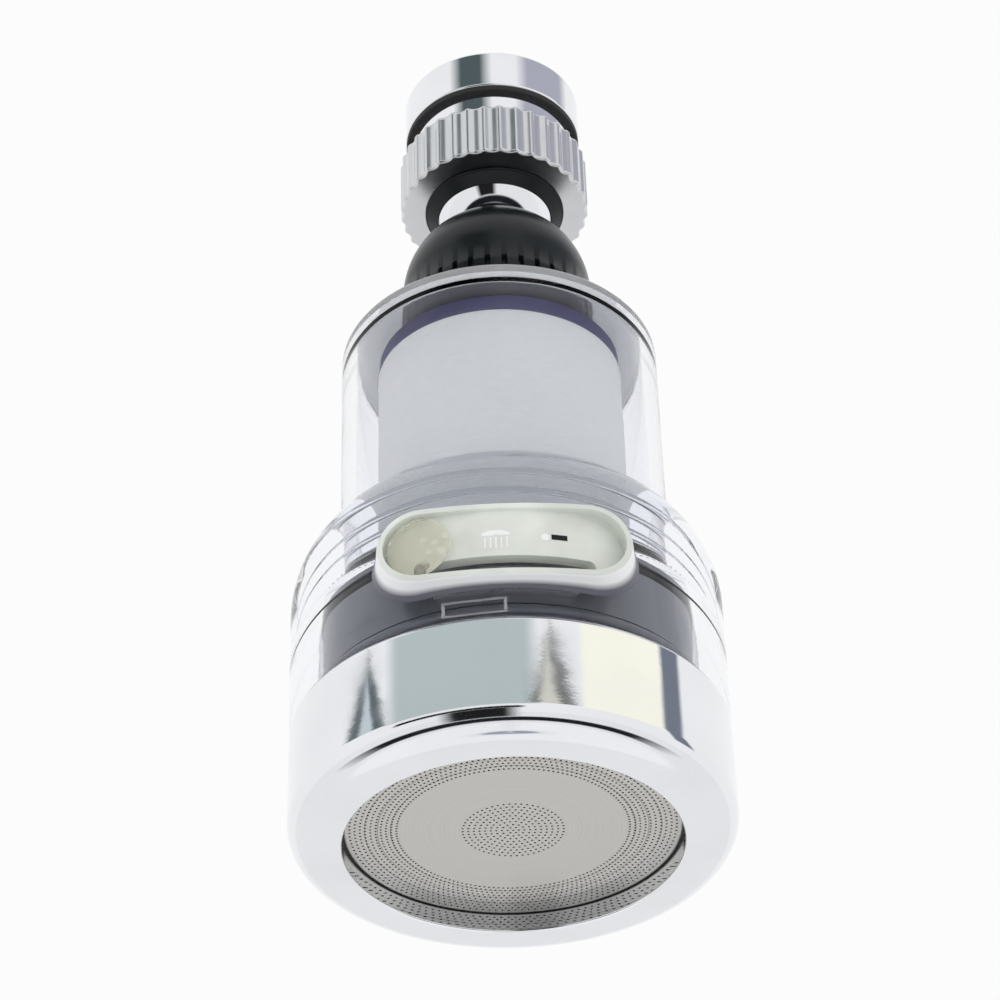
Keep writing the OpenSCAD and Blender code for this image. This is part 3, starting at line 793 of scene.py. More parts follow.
def collar_outline(sizes):
    """Section of the collar: threaded mouth, band, groove and the socket for the ball's seat."""
    top, bottom = high("tap_collar"), low("tap_collar")
    band = top - sizes.band_height
    groove = band - sizes.groove_height
    outer = reach("tap_collar")
    spigot = reach("seat_ring") + 1.2
    ledge = high("seat_oring") + 0.05
    ledge_bore = 7.2
    thread_end = top - sizes.thread_depth
    strainer = low("inlet_strainer")
    return rounded([
        (outer, top, 0.5), (sizes.thread_bore, top, 0.35), (sizes.thread_bore, thread_end, 0),
        (sizes.thread_bore - 0.2, thread_end, 0), (sizes.thread_bore - 0.2, strainer, 0),
        (ledge_bore, strainer, 0), (ledge_bore, ledge, 0), (reach("seat_ring") + 0.1, ledge, 0),
        (reach("seat_ring") + 0.1, bottom, 0), (spigot, bottom, 0), (spigot, groove, 0),
        (spigot + 0.3, groove, 0), (spigot + 0.3, band, 0.2), (outer, band, 0.3),
    ])


def nut_outline(sizes):
    """Section of the fluted nut, with its lip under the retainer."""
    bottom, top = low("swivel_nut"), high("swivel_nut")
    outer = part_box("swivel_nut")[1].y / MM
    lip = low("retainer_ring") + 3.1
    inner = sizes.ball_radius + 0.15
    bore = reach("seat_ring") + 1.25
    return rounded([
        (outer, top, 0.7), (bore, top, 0), (bore, lip, 0), (inner, lip, 0), (inner, bottom, 0.25),
        (outer, bottom, 0.45),
    ])


def fluted(sizes, inner_limit):
    """Shape that sinks rounded flutes into the outside of a turned piece."""
    pitch = math.tau / sizes.flutes

    def shape(angle, r, z, place):
        if r < inner_limit:
            return r, z
        across = abs(math.remainder(angle, pitch)) * r / (sizes.flute_width / 2)
        return r - sizes.flute_depth * max(0.0, 1 - across ** 2), z
    return shape


def build_connector():
    """Collar, thread, fluted nut and retainer ring."""
    sizes = sizes_of("connector")
    turned_piece("collar", collar_outline(sizes), "tap_connector", chrome(), ["tap_collar"])
    turned_piece(
        "fluted_nut", nut_outline(sizes), "tap_connector", satin_chrome(), ["swivel_nut"],
        even_angles(sizes.flutes * 20), fluted(sizes, reach("seat_ring") + 2.2),
    )
    thread_piece(
        "tap_thread", sizes.thread_bore + 0.12, high("tap_collar") - sizes.thread_depth, sizes.thread_depth - 0.3,
        sizes.thread_pitch, 0.3, "tap_connector", chrome(),
    )
    band = high("tap_collar") - sizes.band_height
    # A black ring in the groove under the band stands in for the shade in the gap between collar and nut: painted
    # shade.
    shade_in, shade_out = reach("seat_ring") + 1.4, reach("tap_collar") - 0.12
    turned_piece(
        "groove_shade_ring",
        rounded([(shade_out, band - 0.85, 0.2), (shade_out, band + 0.02, 0), (shade_in, band + 0.02, 0), (shade_in, band - 0.85, 0)]),
        "tap_connector", black_rubber(),
    )
    nose_bottom, top = low("retainer_ring"), high("retainer_ring")
    ball = high("retainer_ring")
    nose = sizes.ball_radius + 0.05
    socket = sizes.ball_radius + 0.08
    flange = nose_bottom + 3.1
    start = math.degrees(math.asin((nose_bottom - ball) / socket))
    outline = arc(0, ball, socket, 0, start, 12) + rounded([
        (nose, nose_bottom, 0.6), (nose, flange, 0), (reach("retainer_ring"), flange, 0),
        (reach("retainer_ring"), top, 0),
    ])[0:]
    turned_piece("retainer", outline, "tap_connector", black_plastic(), ["retainer_ring"])


def build_ball_stem():
    """Hollow ball, neck and flange."""
    sizes = sizes_of("connector")
    ball = high("retainer_ring")
    top_angle = math.degrees(math.acos(sizes.bore_radius / sizes.ball_radius))
    neck_angle = -math.degrees(math.acos(sizes.neck_radius / sizes.ball_radius))
    flange_top, bottom = low("slip_washer"), low("ball_stem")
    flange = reach("ball_stem")
    sphere = arc(0, ball, sizes.ball_radius, top_angle, neck_angle, 64)
    foot = rounded([
        (sizes.neck_radius, flange_top, 0), (flange, flange_top, 0.3), (flange, bottom, 0.3),
        (sizes.bore_radius, bottom, 0.3),
    ])
    turned_piece("ball_and_neck", sphere + foot, "stem", chrome(), ["ball_stem"])


def build_cap_nut():
    """Black domed nut with grip ribs round its skirt."""
    sizes = sizes_of("connector")
    bottom, top = low("cap_nut"), high("cap_nut")
    radius = 12.95
    skirt = radius - 0.75
    spigot = reach("flange_gasket") + 0.3
    dome = low("slip_washer") + 0.6 - 5.1
    hole = sizes.neck_radius + 0.6
    seat = high("slip_washer") + 0.04
    flat = math.sqrt(max(0.0, radius ** 2 - (top - dome) ** 2))
    rib_top = bottom - 0.3 + sizes.rib_height
    curve = arc(0, dome, radius, 0, math.degrees(math.acos(flat / radius)), 40)
    outline = (
        [(spigot, bottom), (skirt, bottom)]
        + [(skirt, bottom + (rib_top - bottom) * step / 12) for step in range(1, 13)]
        + [(radius, rib_top + 0.35)] + curve
        + rounded([(flat, top, 0), (hole, top, 0.4), (hole, seat, 0), (spigot, seat, 0)])
    )

    pitch = math.tau / sizes.grip_ribs
    groove = sizes.rib_groove / 2 / radius

    def ribbed(angle, r, z, place):
        if r < skirt - 0.2 or z > rib_top + 0.05:
            return r, z
        from_groove = pitch / 2 - abs(math.remainder(angle + pitch / 2, pitch))
        rib = step_between(pitch / 2 - from_groove, groove - 0.006, groove + 0.006)
        return r + 0.9 * rib, z

    turned_piece(
        "domed_nut", outline, "head", black_plastic(), ["cap_nut"],
        even_angles(sizes.grip_ribs * 24), ribbed,
    )


# Filter housing

def build_filter_housing():
    """Upper clear tube, its thread, the cartridge and the violet gasket."""
    sizes = sizes_of("housing")
    bottom = low("filter_tube")
    outlet = low("outlet_cap")
    joint = outlet + sizes.shoulder_height + 0.05
    spigot_top = high("filter_tube")
    outer = reach("filter_tube")
    thread = outer - 0.6
    inner = outer - sizes.tube_wall
    plate_under = high("cartridge_gasket")
    plate_top = plate_under + sizes.top_thickness
    spigot = reach("flange_gasket") + 0.2
    spigot_bore = spigot - 2.75
    rim = outer - 1.5
    ledge = plate_under + 0.7
    seam = 0.02
    outline = rounded([
        (inner, bottom, 0.2), (thread, bottom, 0.3), (thread, joint, 0), (outer, joint, 0.25),
        (outer, plate_under, 0), (rim, plate_under, 0), (rim, ledge, 0),
        (spigot, ledge, 0), (spigot, spigot_top, 0.4),
        (spigot_bore, spigot_top, 0.2), (spigot_bore, plate_under, 0.3), (inner, plate_under, 0.8),
    ])
    turned_piece("clear_tube", outline, "head", clear(), ["filter_tube"], even_angles(256))
    turned_piece(
        "tube_rim",
        rounded([
            (rim + seam, plate_under + seam, 0), (outer, plate_under + seam, 0),
            (outer, plate_top, sizes.top_edge), (spigot + seam, plate_top, 0.3),
            (spigot + seam, ledge + seam, 0), (rim + seam, ledge + seam, 0),
        ]),
        "head", cloudy_clear(), (), even_angles(256),
    )
    thread_piece(
        "tube_thread", thread - 0.15, bottom + 0.6, joint - bottom - 1.4, 2.4, 0.35,
        "head", clear(),
    )
    gasket = reach("cartridge_gasket")
    turned_piece(
        "violet_gasket",
        rounded([
            (gasket, low("cartridge_gasket"), 0.3), (gasket, plate_under, 0.3),
            (gasket - 3.8, plate_under, 0.3), (gasket - 3.8, low("cartridge_gasket"), 0.3),
        ]),
        "head", violet_rubber(), ["cartridge_gasket"],
    )
    element = reach("filter_element")
    turned_piece(
        "fibre_cartridge",
        rounded([
            (element, low("filter_element"), 0.6), (element, high("filter_element"), 0.6),
            (7.05, high("filter_element"), 0), (7.05, low("filter_element"), 0),
        ]),
        "head", filter_fibre(), ["filter_element"],
    )


def pill_distance(x, z, half_width, half_height):
    """Distance from a slot-shaped outline, negative inside."""
    beyond = max(abs(x) - (half_width - half_height), 0.0)
    return math.hypot(beyond, z) - half_height


def step_between(value, first, last):
    """Smooth step from 0 at first to 1 at last."""
    share = max(0.0, min(1.0, (value - first) / (last - first)))
    return share * share * (3 - 2 * share)


def slot_cutter(sizes, centre):
    """A curved bar, as long as the button's travel, that cuts the slot through shell and boss."""
    inner, outer = 22.0, 33.0
    columns = []
    for side in (-1, 1):
        for step in range(10):
            angle = math.pi / 2 * step / 9
            dx, half = sizes.slot_height * math.cos(angle), sizes.slot_height * math.sin(angle)
            columns.append((side * (sizes.mode_angle + dx / sizes.boss_face), half))
    columns += [(sizes.mode_angle * (step / 12 - 1), sizes.slot_height) for step in range(1, 24)]
    columns.sort()
    points, faces = [], []
    for r in (inner, outer):
        for angle, half in columns:
            for side in (-1, 1):
                height = centre - sizes.slot_drop + side * half
                points.append((r * MM * math.sin(angle), -r * MM * math.cos(angle), height * MM))
    count = len(columns)
    for step in range(count - 1):
        lower, upper, next_lower, next_upper = (2 * step + corner for corner in range(4))
        back = 2 * count
        faces += [
            [lower, next_lower, next_upper, upper],
            [back + lower, back + upper, back + next_upper, back + next_lower],
            [lower, back + lower, back + next_lower, next_lower],
            [upper, next_upper, back + next_upper, back + upper],
        ]
    return welded_mesh("slot_cutter", points, faces)


def welded_mesh(name, points, faces):
    """Mesh of those points and faces with its doubles merged and its faces turned outwards."""
    mesh = bpy.data.meshes.new(name)
    mesh.from_pydata(points, [], faces)
    mend = bmesh.new()
    mend.from_mesh(mesh)
    bmesh.ops.remove_doubles(mend, verts=mend.verts, dist=1e-7)
    bmesh.ops.recalc_face_normals(mend, faces=mend.faces)
    mend.to_mesh(mesh)
    mend.free()
    face_outwards(mesh)
    return mesh


def cut_away(mesh, cutter):
    """Plain mesh of what is left after the cutter is taken out."""
    scene = bpy.context.scene
    whole = bpy.data.objects.new("whole", mesh)
    tool = bpy.data.objects.new("tool", cutter)
    for thing in (whole, tool):
        scene.collection.objects.link(thing)
    remover = whole.modifiers.new("Cut", "BOOLEAN")
    remover.operation = "DIFFERENCE"
    remover.solver = "EXACT"
    remover.object = tool
    result = bpy.data.meshes.new_from_object(whole.evaluated_get(bpy.context.evaluated_depsgraph_get()))
    whole.modifiers.remove(remover)
    for thing in (whole, tool):
        bpy.data.objects.remove(thing)
    return result


def build_lower_shell():
    """Wide clear shell with its rounded shoulder and the button's slot."""
    sizes = sizes_of("housing")
    outlet = low("outlet_cap")
    bottom = low("lower_shell")
    wall = reach("lower_shell")
    seam = outlet + sizes.seam_height
    ledge = outlet + sizes.ledge_height
    top = outlet + sizes.shoulder_height
    skirt = reach("outlet_cap") - 2.55
    thread = reach("filter_tube") - 0.5
    inward = wall - reach("filter_tube") - 0.3
    start = ledge + 1
    upward = top - start
    curve = (inward ** 2 + upward ** 2) / (2 * inward)
    shoulder = arc(wall - curve, start, curve, 0, math.degrees(math.asin(upward / curve)), 28)
    underside = ledge - sizes.ledge_thickness
    outline = (
        rounded([(sizes.chamber_radius, bottom, 0.2), (skirt, bottom, 0.4), (skirt, seam, 0), (wall, seam, 0.35)])
        + [(wall, seam + (start - seam) * step / 8) for step in range(1, 8)]
        + shoulder
        + rounded([
            (thread, top, 0.2), (thread, ledge, 0.2), (sizes.ledge_radius, ledge, 0.3),
            (sizes.ledge_radius, underside, 0.3), (sizes.chamber_radius, underside, 0.5),
        ])
    )
    mesh = turned_mesh("clear_shell", outline, even_angles(256))
    face_outwards(mesh)
    mesh = cut_away(mesh, slot_cutter(sizes, outlet + sizes.boss_centre))
    mesh.name = "clear_shell"
    smooth(mesh)
    place_piece("clear_shell", mesh, "head", clear(), ["lower_shell"])


def pill_loop(half_length, straight=40, turn=24):
    """Centre points and directions round a slot-shaped outline, clockwise from its upper left."""
    loop = [(-half_length + 2 * half_length * step / straight, 0.0, 1.0) for step in range(straight)]
    for step in range(turn):
        angle = math.pi / 2 - math.pi * step / turn
        loop.append((half_length, math.cos(angle), math.sin(angle)))
    return loop + [(-x, -dx, -dz) for x, dx, dz in loop]


def build_boss():
    """Satin boss on the shell's front: rim, sunk track and slope, cut through by the slot."""
    sizes = sizes_of("housing")
    wall = reach("lower_shell")
    centre = low("outlet_cap") + sizes.boss_centre
    half_length = sizes.track_width - sizes.track_height
    floor = sizes.boss_face - sizes.track_depth
    inner = sizes.track_height
    outer = inner + sizes.boss_rim
    foot = outer + sizes.boss_foot

    def on_wall(x, lift=0.02):
        return -math.sqrt((wall + lift) ** 2 - x * x)

    def on_face(x):
        return -sizes.boss_face + sizes.boss_curve - math.sqrt(sizes.boss_curve ** 2 - x * x)

    def on_floor(x):
        return -math.sqrt(floor ** 2 - x * x)

    # Each row is a distance from the centre line, two surfaces and the share of the second one
    profile = [(inner * share, on_floor, on_floor, 0.0) for share in (0, 0.3, 0.6, 0.85, 0.97)]
    profile += [
        (inner - 0.02, on_floor, on_face, 0.06), (inner, on_floor, on_face, 0.5), (inner + 0.03, on_floor, on_face, 0.9),
        (inner + 0.1, on_face, on_face, 0.0), (outer - 0.16, on_face, on_face, 0.0),
        (outer - 0.04, on_face, on_wall, 0.02), (outer + 0.04, on_face, on_wall, 0.08),
        (outer + 0.1, on_face, on_wall, 0.2), (outer + 0.2, on_face, on_wall, 0.5),
        (foot - 0.35, on_face, on_wall, 0.82), (foot - 0.12, on_face, on_wall, 0.96), (foot, on_face, on_wall, 1.0),
    ]
    profile += [(foot * share, on_wall, on_wall, 0.0) for share in (0.9, 0.6, 0.3, 0.0)]
    loop = pill_loop(half_length)
    points, faces = [], []
    for distance, first_surface, second_surface, share in profile:
        for x, dx, dz in loop:
            px = x + dx * distance
            py = first_surface(px) * (1 - share) + second_surface(px) * share
            if (first_surface, share) == (on_wall, 0.0):
                py += 0.015
            points.append((px * MM, py * MM, (centre + dz * distance) * MM))
    count = len(loop)
    for row in range(len(profile) - 1):
        for step in range(count):
            after = (step + 1) % count
            here, above = row * count, (row + 1) * count
            faces.append([here + step, here + after, above + after, above + step])
    mesh = welded_mesh("satin_boss", points, faces)
    mesh = cut_away(mesh, slot_cutter(sizes, centre))
    mesh.name = "satin_boss"
    # Masks for the painted highlight on the slope and the painted shade line round the foot.
    highlight_shares, edges = [], []
    for vertex in mesh.vertices:
        beyond = max(abs(vertex.co.x / MM) - half_length, 0.0)
        away = math.hypot(beyond, vertex.co.z / MM - centre)
        highlight_shares.append(step_between(away, outer - 0.05, outer + 0.05))
        edges.append(step_between(away, outer + 0.25, outer + 0.43))
    for label, shares in (("slope", highlight_shares), ("edge", edges)):
        mesh.attributes.new(label, "FLOAT", "POINT").data.foreach_set("value", shares)
    smooth(mesh, 30)
    place_piece("satin_boss", mesh, "head", panel_plastic())


# Mode button and marks

def build_mode_button():
    """Round warm-clear button at the left end of its track."""
    sizes = sizes_of("housing")
    lowest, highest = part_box("mode_button")
    radius = 3.9
    base = sizes.boss_face - sizes.track_depth + 0.3
    height = 1.1
    centre = low("outlet_cap") + sizes.boss_centre
    pin = 0.7
    outline = rounded([
        (0, 0, 0), (radius, 0, 0.15), (radius, height, 0.45), (radius - 0.9, height, 0.2),
        (radius - 1.2, height - 0.2, 0.2), (0, height - 0.2, 0),
    ])
    mesh = turned_mesh("slide_button", outline, even_angles(96))
    stem = turned_mesh(
        "button_pin",
        [(0, -(base - 21.1)), (pin, -(base - 21.1)), (pin, 0.05), (0, 0.05)], even_angles(32),
    )
    face_outwards(mesh)
    face_outwards(stem)
    stem.transform(Matrix.Translation((0, -sizes.slot_drop * MM, 0)))
    joined = joined_mesh("slide_button", [mesh, stem])
    outwards = Matrix.Rotation(math.pi / 2, 4, "X")
    move = Matrix.Translation((0, -base * MM, centre * MM))
    turn = Matrix.Rotation(-sizes.mode_angle, 4, "Z")
    joined.transform(turn @ move @ outwards)
    face_outwards(joined)
    smooth(joined)
    place_piece("slide_button", joined, "selector", warm_clear(), ["mode_button"])


def joined_mesh(name, meshes):
    """One mesh that holds several."""
    points, faces = [], []
    for mesh in meshes:
        first = len(points)
        points += [tuple(vertex.co) for vertex in mesh.vertices]
        faces += [[first + corner for corner in face.vertices] for face in mesh.polygons]
    whole = bpy.data.meshes.new(name)
    whole.from_pydata(points, [], faces)
    return whole


def mark_mesh(name, shapes, radius, thickness, centre):
    """Thin raised marks on the track: closed outlines in millimetres, wrapped round the axis."""
    points, faces = [], []
    for outline in shapes:
        count = len(outline)
        first = len(points)
        for depth in (radius - thickness, radius + thickness):
            for x, z in outline:
                angle = x / radius
                points.append((depth * MM * math.sin(angle), -depth * MM * math.cos(angle), (centre + z) * MM))
        faces.append([first + step for step in range(count)])
        faces.append([first + count + step for step in reversed(range(count))])
        for step in range(count):
            after = (step + 1) % count
            faces.append([first + step, first + count + step, first + count + after, first + after])
    mesh = bpy.data.meshes.new(name)
    mesh.from_pydata(points, [], faces)
    face_outwards(mesh)
    return mesh


def oval(x, z, half_width, half_height, count=28, first=0.0, last=math.tau):
    """Points of an oval, or of part of one."""
    whole = last - first >= math.tau
    steps = count if whole else count - 1
    return [
        (x + half_width * math.cos(first + (last - first) * step / steps),
         z + half_height * math.sin(first + (last - first) * step / steps))
        for step in range(count)
    ]


def bar(x, z, half_width, half_height):
    """Corners of an upright bar."""
    return [
        (x - half_width, z - half_height), (x + half_width, z - half_height),
        (x + half_width, z + half_height), (x - half_width, z + half_height),
    ]


def build_marks():
    """Plain marks on the track for the three modes: drops, a shower and a stream."""
    sizes = sizes_of("housing")
    floor = sizes.boss_face - sizes.track_depth
    centre = low("outlet_cap") + sizes.boss_centre + 0.4
    pitch = 7.2
    left, middle, right = -pitch - 1.1, -1.0, pitch - 1.0
    drops = [oval(left + dx, dz, 0.42, 0.42, 16) for dx, dz in ((-1.4, 0.9), (0, 0.2), (1.3, 0.9), (-0.7, -1), (0.8, -1.1))]
    shower = [oval(middle, 0.35, 1.75, 0.75, 32, 0.0, math.pi)]
    rays = [bar(middle + offset, -0.75, 0.09, 0.8) for offset in (-1.3, -0.65, 0, 0.65, 1.3)]
    stream = [oval(right - 1.35, 0.1, 0.5, 0.5, 24)]
    spout = [bar(right + 0.35, 0.2, 0.95, 0.36)]
    for name, shapes, slot, finish in (
        ("white_marks", drops + shower + rays + stream, "white_plastic", white_plastic()),
        ("dark_marks", spout, "black_plastic", black_plastic()),
    ):
        mesh = mark_mesh(name, shapes, floor, 0.05, centre)
        place_piece(name, mesh, "head", finish)
    catch = [
        bar(-3.8, 0.95, 3.9, 0.13), bar(-3.8, -0.9, 3.9, 0.1), bar(-7.5, 0.02, 0.2, 0.78), bar(-0.1, 0.02, 0.2, 0.78),
    ]
    mesh = mark_mesh("catch_frame", catch, reach("lower_shell") - 0.07, 0.05, low("outlet_cap") + 16.9)
    place_piece("catch_frame", mesh, "head", cloudy_clear())


# Outlet

def build_outlet():
    """Chrome cap and the perforated spray disc."""
    sizes = sizes_of("outlet")
    bottom, top = low("outlet_cap"), high("outlet_cap")
    outer = reach("outlet_cap")
    bore = outer - 2.45
    seat = reach("spray_disc") + 0.6
    step = low("lower_shell") - 0.3
    outline = rounded([
        (outer, top, 0.25), (bore, top, 0.2), (bore, step, 0), (seat, step, 0),
        (seat, bottom + sizes.lip, 0), (sizes.opening, bottom + sizes.lip, 0.12),
        (sizes.opening, bottom, 0.35), (outer, bottom, sizes.edge),
    ], 14)
    turned_piece("chrome_cap", outline, "head", chrome(), ["outlet_cap"], even_angles(320))
    steel = screen_steel()
    band = sizes.opening - 0.9 - sizes.outer_pitch * (sizes.outer_rings - 1)
    values = {
        "Plate radius": reach("spray_disc") * MM, "Thickness": (high("spray_disc") - low("spray_disc")) * MM,
        "Hole radius": sizes.hole * MM, "Height": low("spray_disc") * MM,
        "Centre rings": sizes.centre_rings, "Centre pitch": sizes.centre_pitch * MM,
        "Outer rings": sizes.outer_rings, "Outer holes": sizes.outer_count,
        "Outer pitch": sizes.outer_pitch * MM, "Outer radius": band * MM,
    }
    mesh = grown_mesh("perforated_disc", perforated_tree(steel), values)
    face_outwards(mesh)
    place_piece("perforated_disc", mesh, "head", steel, ["spray_disc"])


def finish_inner_pieces():
    """Gives each frame node that shows through the plastic its own finish."""
    finishes = {
        "black_rubber": black_rubber(), "white_plastic": white_plastic(), "steel_screen": screen_steel(),
        "steel": plain_steel(), "chrome": chrome(), "black_plastic": black_plastic(),
        "clear_plastic": clear(), "tinted_clear": warm_clear(), "violet_rubber": violet_rubber(),
        "filter_fibre": filter_fibre(),
    }
    slots = {part["node"]: part["material_slot"] for part in frame["record"]["subparts"]}
    own = {"rotor": smoke_plastic(), "selector_oring_lower": smoke_plastic()}
    for node, piece in frame["nodes"].items():
        finish = own.get(node, finishes[slots[node]])
        if piece.material_slots:
            piece.material_slots[0].material = finish
        else:
            piece.data.materials.append(finish)


# Stage

def sky_card(name, azimuths, elevations, shade, distance=3.0, soft=(1.5, 0.6), peak=None):
    """A glowing card of sky between angles in degrees, with soft edges. Azimuth 0 is the front, 90 the right.

    With a peak, the card narrows upwards to that azimuth.
    """
    columns, rows = 40, 16
    middle = (CAD_BOX[0] + CAD_BOX[1]) / 2
    points, edges, faces = [], [], []
    width, height = azimuths[1] - azimuths[0], elevations[1] - elevations[0]
    for row in range(rows + 1):
        up = row / rows
        elevation = math.radians(elevations[0] + height * up)
        for column in range(columns + 1):
            across = column / columns
            azimuth = azimuths[0] + width * across
            if peak is not None:
                azimuth += (peak - azimuth) * up
            azimuth = math.radians(azimuth)
            direction = Vector((
                math.sin(azimuth) * math.cos(elevation), -math.cos(azimuth) * math.cos(elevation),
                math.sin(elevation),
            ))
            points.append(tuple(middle + direction * distance))
            side = min(across, 1 - across) * width / soft[0]
            end = min(up, 1 - up) * height / soft[1]
            edges.append(max(0.0, min(1.0, side, end)))
    stride = columns + 1
    for row in range(rows):
        for column in range(columns):
            corner = row * stride + column
            faces.append([corner, corner + 1, corner + stride + 1, corner + stride])
    mesh = bpy.data.meshes.new(name)
    mesh.from_pydata(points, [], faces)
    attribute = mesh.attributes.new("edge", "FLOAT", "POINT")
    attribute.data.foreach_set("value", edges)
    glow = bpy.data.materials.new(name)
    glow.use_nodes = True
    tree = glow.node_tree
    tree.nodes.clear()
    edge = add_node(tree, "ShaderNodeAttribute", attribute_name="edge")
    light = add_node(tree, "ShaderNodeEmission", {"Color": (*shade, 1.0)})
    through = add_node(tree, "ShaderNodeBsdfTransparent")
    blend = add_node(tree, "ShaderNodeMixShader", {0: edge.outputs["Fac"]})
    tree.links.new(through.outputs[0], blend.inputs[1])
    tree.links.new(light.outputs[0], blend.inputs[2])
    end = add_node(tree, "ShaderNodeOutputMaterial")
    tree.links.new(blend.outputs[0], end.inputs[0])
    mesh.materials.append(glow)
    card = bpy.data.objects.new(name, mesh)
    card.visible_camera = False
    card.visible_diffuse = False
    card.visible_transmission = False
    bpy.context.scene.collection.objects.link(card)


def build_stage():
    """Camera, pale world, floor and the sky patches that the chrome and the plastic mirror."""
    scene = bpy.context.scene
    pitch, roll = math.radians(36.75), math.radians(1.74)
    camera_data = bpy.data.cameras.new("camera")
    camera_data.lens = 108.0
    camera_data.sensor_width = 36.0
    camera_data.shift_x = -0.0032
    camera = bpy.data.objects.new("camera", camera_data)
    ahead = Vector((0, math.cos(pitch), math.sin(pitch)))
    level_up = Vector((0, -math.sin(pitch), math.cos(pitch)))
    level_right = Vector((1, 0, 0))
    right = level_right * math.cos(roll) - level_up * math.sin(roll)
    up = level_right * math.sin(roll) + level_up * math.cos(roll)
    turn = Matrix((right, up, -ahead)).transposed().to_4x4()
    place = Vector((0, -0.3145, low("outlet_cap") * MM - 0.1824))
    camera.matrix_world = Matrix.Translation(place) @ turn
    scene.collection.objects.link(camera)
    scene.camera = camera

    world = bpy.data.worlds.new("pale_studio")
    world.use_nodes = True
    background = world.node_tree.nodes["Background"]
    background.inputs["Color"].default_value = (0.975, 0.975, 0.975, 1.0)
    background.inputs["Strength"].default_value = 1.0
    scene.world = world
    scene.view_settings.view_transform = "Standard"

    half = 6.0
    floor_height = -0.9
    floor_mesh = bpy.data.meshes.new("floor")
    corners = [(-half, -half), (half, -half), (half, half), (-half, half)]
    floor_mesh.from_pydata([(x, y, floor_height) for x, y in corners], [], [[0, 1, 2, 3]])
    floor_finish, _, shader = new_material("pale_floor")
    shader.inputs["Base Color"].default_value = (0.93, 0.93, 0.93, 1.0)
    shader.inputs["Roughness"].default_value = 0.8
    floor_mesh.materials.append(floor_finish)
    floor = bpy.data.objects.new("floor", floor_mesh)
    scene.collection.objects.link(floor)

    grey, teal, warm = (0.53, 0.595, 0.6), (0.09, 0.12, 0.125), (1.1, 1.08, 0.93)
    dark, haze = (0.012, 0.014, 0.018), (0.36, 0.38, 0.46)
    sky_card("grey_card", (-66, 16), (25.5, 36), grey, soft=(7, 0.4))
    sky_card("warm_card", (36, 86), (25.5, 36), warm, soft=(3, 0.4))
    sky_card("right_strip", (83, 99), (12, 37), (0.2, 0.22, 0.27), soft=(3, 1))
    sky_card("left_cone", (-97, -58), (30.6, 32.8), (0.1, 0.13, 0.14), 2.8, (5, 0.1), -76)
    sky_card("left_cone_light", (-86, -70), (30.6, 32.1), (0.62, 0.68, 0.72), 2.6, (3, 0.1), -77)
    sky_card("right_cone", (4, 40), (31.0, 33.2), (0.12, 0.13, 0.12), 2.8, (3, 0.1), 22)
    sky_card("right_cone_light", (11, 29), (31.0, 32.6), (0.72, 0.7, 0.62), 2.6, (2, 0.1), 20)
    sky_card("teal_card", (-56, 2), (38, 54), teal, soft=(16, 1))
    sky_card("lavender_card", (34, 120), (37.5, 54), (0.46, 0.46, 0.54), soft=(16, 1))
    sky_card("front_gap", (-57, 8), (6, 14.5), dark, 0.62, (3, 0.5))
    sky_card("front_block", (-34, 6), (-30, 7), (0.016, 0.016, 0.018), 0.6, (8, 2))
    sky_card("front_edge", (-100, 96), (-46, -29), dark, 0.58, (30, 3))
    sky_card("nadir", (0, 360), (-90, -83), haze, 0.6, (0.1, 1.5))
    sky_card("base_light", (0, 360), (-82, -50), (1.0, 1.0, 1.0), 0.66, (0.1, 4))


# Operators and panel

class AERATOR_OT_stage(bpy.types.Operator):
    """Set up the camera, the pale floor and the light"""

    bl_idname = "aerator.stage"
    bl_label = "Stage"

    def execute(self, context):
        build_stage()
        return {"FINISHED"}


class AERATOR_OT_connector(bpy.types.Operator):
    """Build the tap collar, its nut and the retainer ring"""

    bl_idname = "aerator.connector"
    bl_label = "Tap connector"

    def execute(self, context):
        build_connector()
        return {"FINISHED"}


class AERATOR_OT_ball_stem(bpy.types.Operator):
    """Build the ball and its neck"""

    bl_idname = "aerator.ball_stem"
    bl_label = "Ball stem"

    def execute(self, context):
        build_ball_stem()
        return {"FINISHED"}


class AERATOR_OT_cap_nut(bpy.types.Operator):
    """Build the black domed nut"""

    bl_idname = "aerator.cap_nut"
    bl_label = "Cap nut"

    def execute(self, context):
        build_cap_nut()
        return {"FINISHED"}


class AERATOR_OT_filter_housing(bpy.types.Operator):
    """Build the upper clear tube and what it holds"""

    bl_idname = "aerator.filter_housing"
    bl_label = "Filter housing"

    def execute(self, context):
        build_filter_housing()
        return {"FINISHED"}


class AERATOR_OT_lower_shell(bpy.types.Operator):
    """Build the wide clear shell and its boss"""

    bl_idname = "aerator.lower_shell"
    bl_label = "Lower shell"

    def execute(self, context):
        build_lower_shell()
        build_boss()
        return {"FINISHED"}


class AERATOR_OT_mode_control(bpy.types.Operator):
    """Build the mode button and the marks on its track"""

    bl_idname = "aerator.mode_control"
    bl_label = "Mode control"

    def execute(self, context):
        build_mode_button()
        build_marks()
        return {"FINISHED"}


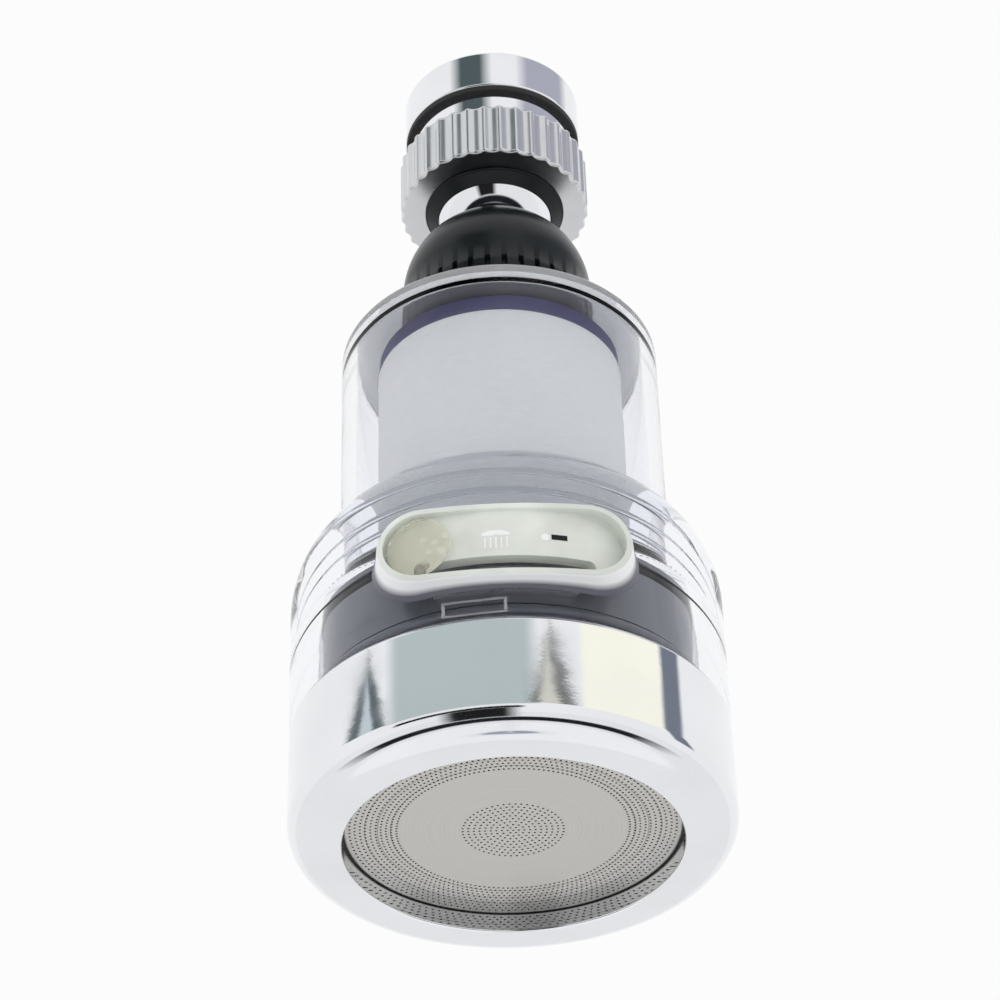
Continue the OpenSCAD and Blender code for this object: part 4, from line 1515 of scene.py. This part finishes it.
class AERATOR_OT_outlet(bpy.types.Operator):
    """Build the chrome cap and the spray disc"""

    bl_idname = "aerator.outlet"
    bl_label = "Outlet"

    def execute(self, context):
        build_outlet()
        return {"FINISHED"}


class AERATOR_OT_inner_pieces(bpy.types.Operator):
    """Give the inner pieces their finishes"""

    bl_idname = "aerator.inner_pieces"
    bl_label = "Inner pieces"

    def execute(self, context):
        finish_inner_pieces()
        return {"FINISHED"}


OPERATORS = (
    AERATOR_OT_stage, AERATOR_OT_connector, AERATOR_OT_ball_stem, AERATOR_OT_cap_nut,
    AERATOR_OT_filter_housing, AERATOR_OT_lower_shell, AERATOR_OT_mode_control, AERATOR_OT_outlet,
    AERATOR_OT_inner_pieces,
)


class AERATOR_PT_panel(bpy.types.Panel):
    """Sidebar panel that lists the building steps"""

    bl_idname = "AERATOR_PT_panel"
    bl_label = "Swivel Faucet Aerator"
    bl_space_type = "VIEW_3D"
    bl_region_type = "UI"
    bl_category = "Aerator"

    def draw(self, context):
        for operator in OPERATORS:
            self.layout.operator(operator.bl_idname)


GROUPS = {
    "connector": ConnectorSizes, "housing": HousingSizes, "outlet": OutletSizes, "finishes": Finishes,
}


def register():
    """Registers the classes and puts the property groups on the scene."""
    for group in GROUPS.values():
        bpy.utils.register_class(group)
    for name, group in GROUPS.items():
        setattr(bpy.types.Scene, "aerator_" + name, PointerProperty(type=group))
    for operator in OPERATORS:
        bpy.utils.register_class(operator)
    bpy.utils.register_class(AERATOR_PT_panel)


def unregister():
    """Removes what register added."""
    bpy.utils.unregister_class(AERATOR_PT_panel)
    for operator in reversed(OPERATORS):
        bpy.utils.unregister_class(operator)
    for name, group in GROUPS.items():
        delattr(bpy.types.Scene, "aerator_" + name)
        bpy.utils.unregister_class(group)


def main():
    """Builds everything in order."""
    register()
    bpy.ops.aerator.stage()
    bpy.ops.aerator.inner_pieces()
    bpy.ops.aerator.connector()
    bpy.ops.aerator.ball_stem()
    bpy.ops.aerator.cap_nut()
    bpy.ops.aerator.filter_housing()
    bpy.ops.aerator.lower_shell()
    bpy.ops.aerator.mode_control()
    bpy.ops.aerator.outlet()


if __name__ == "__main__":
    main()
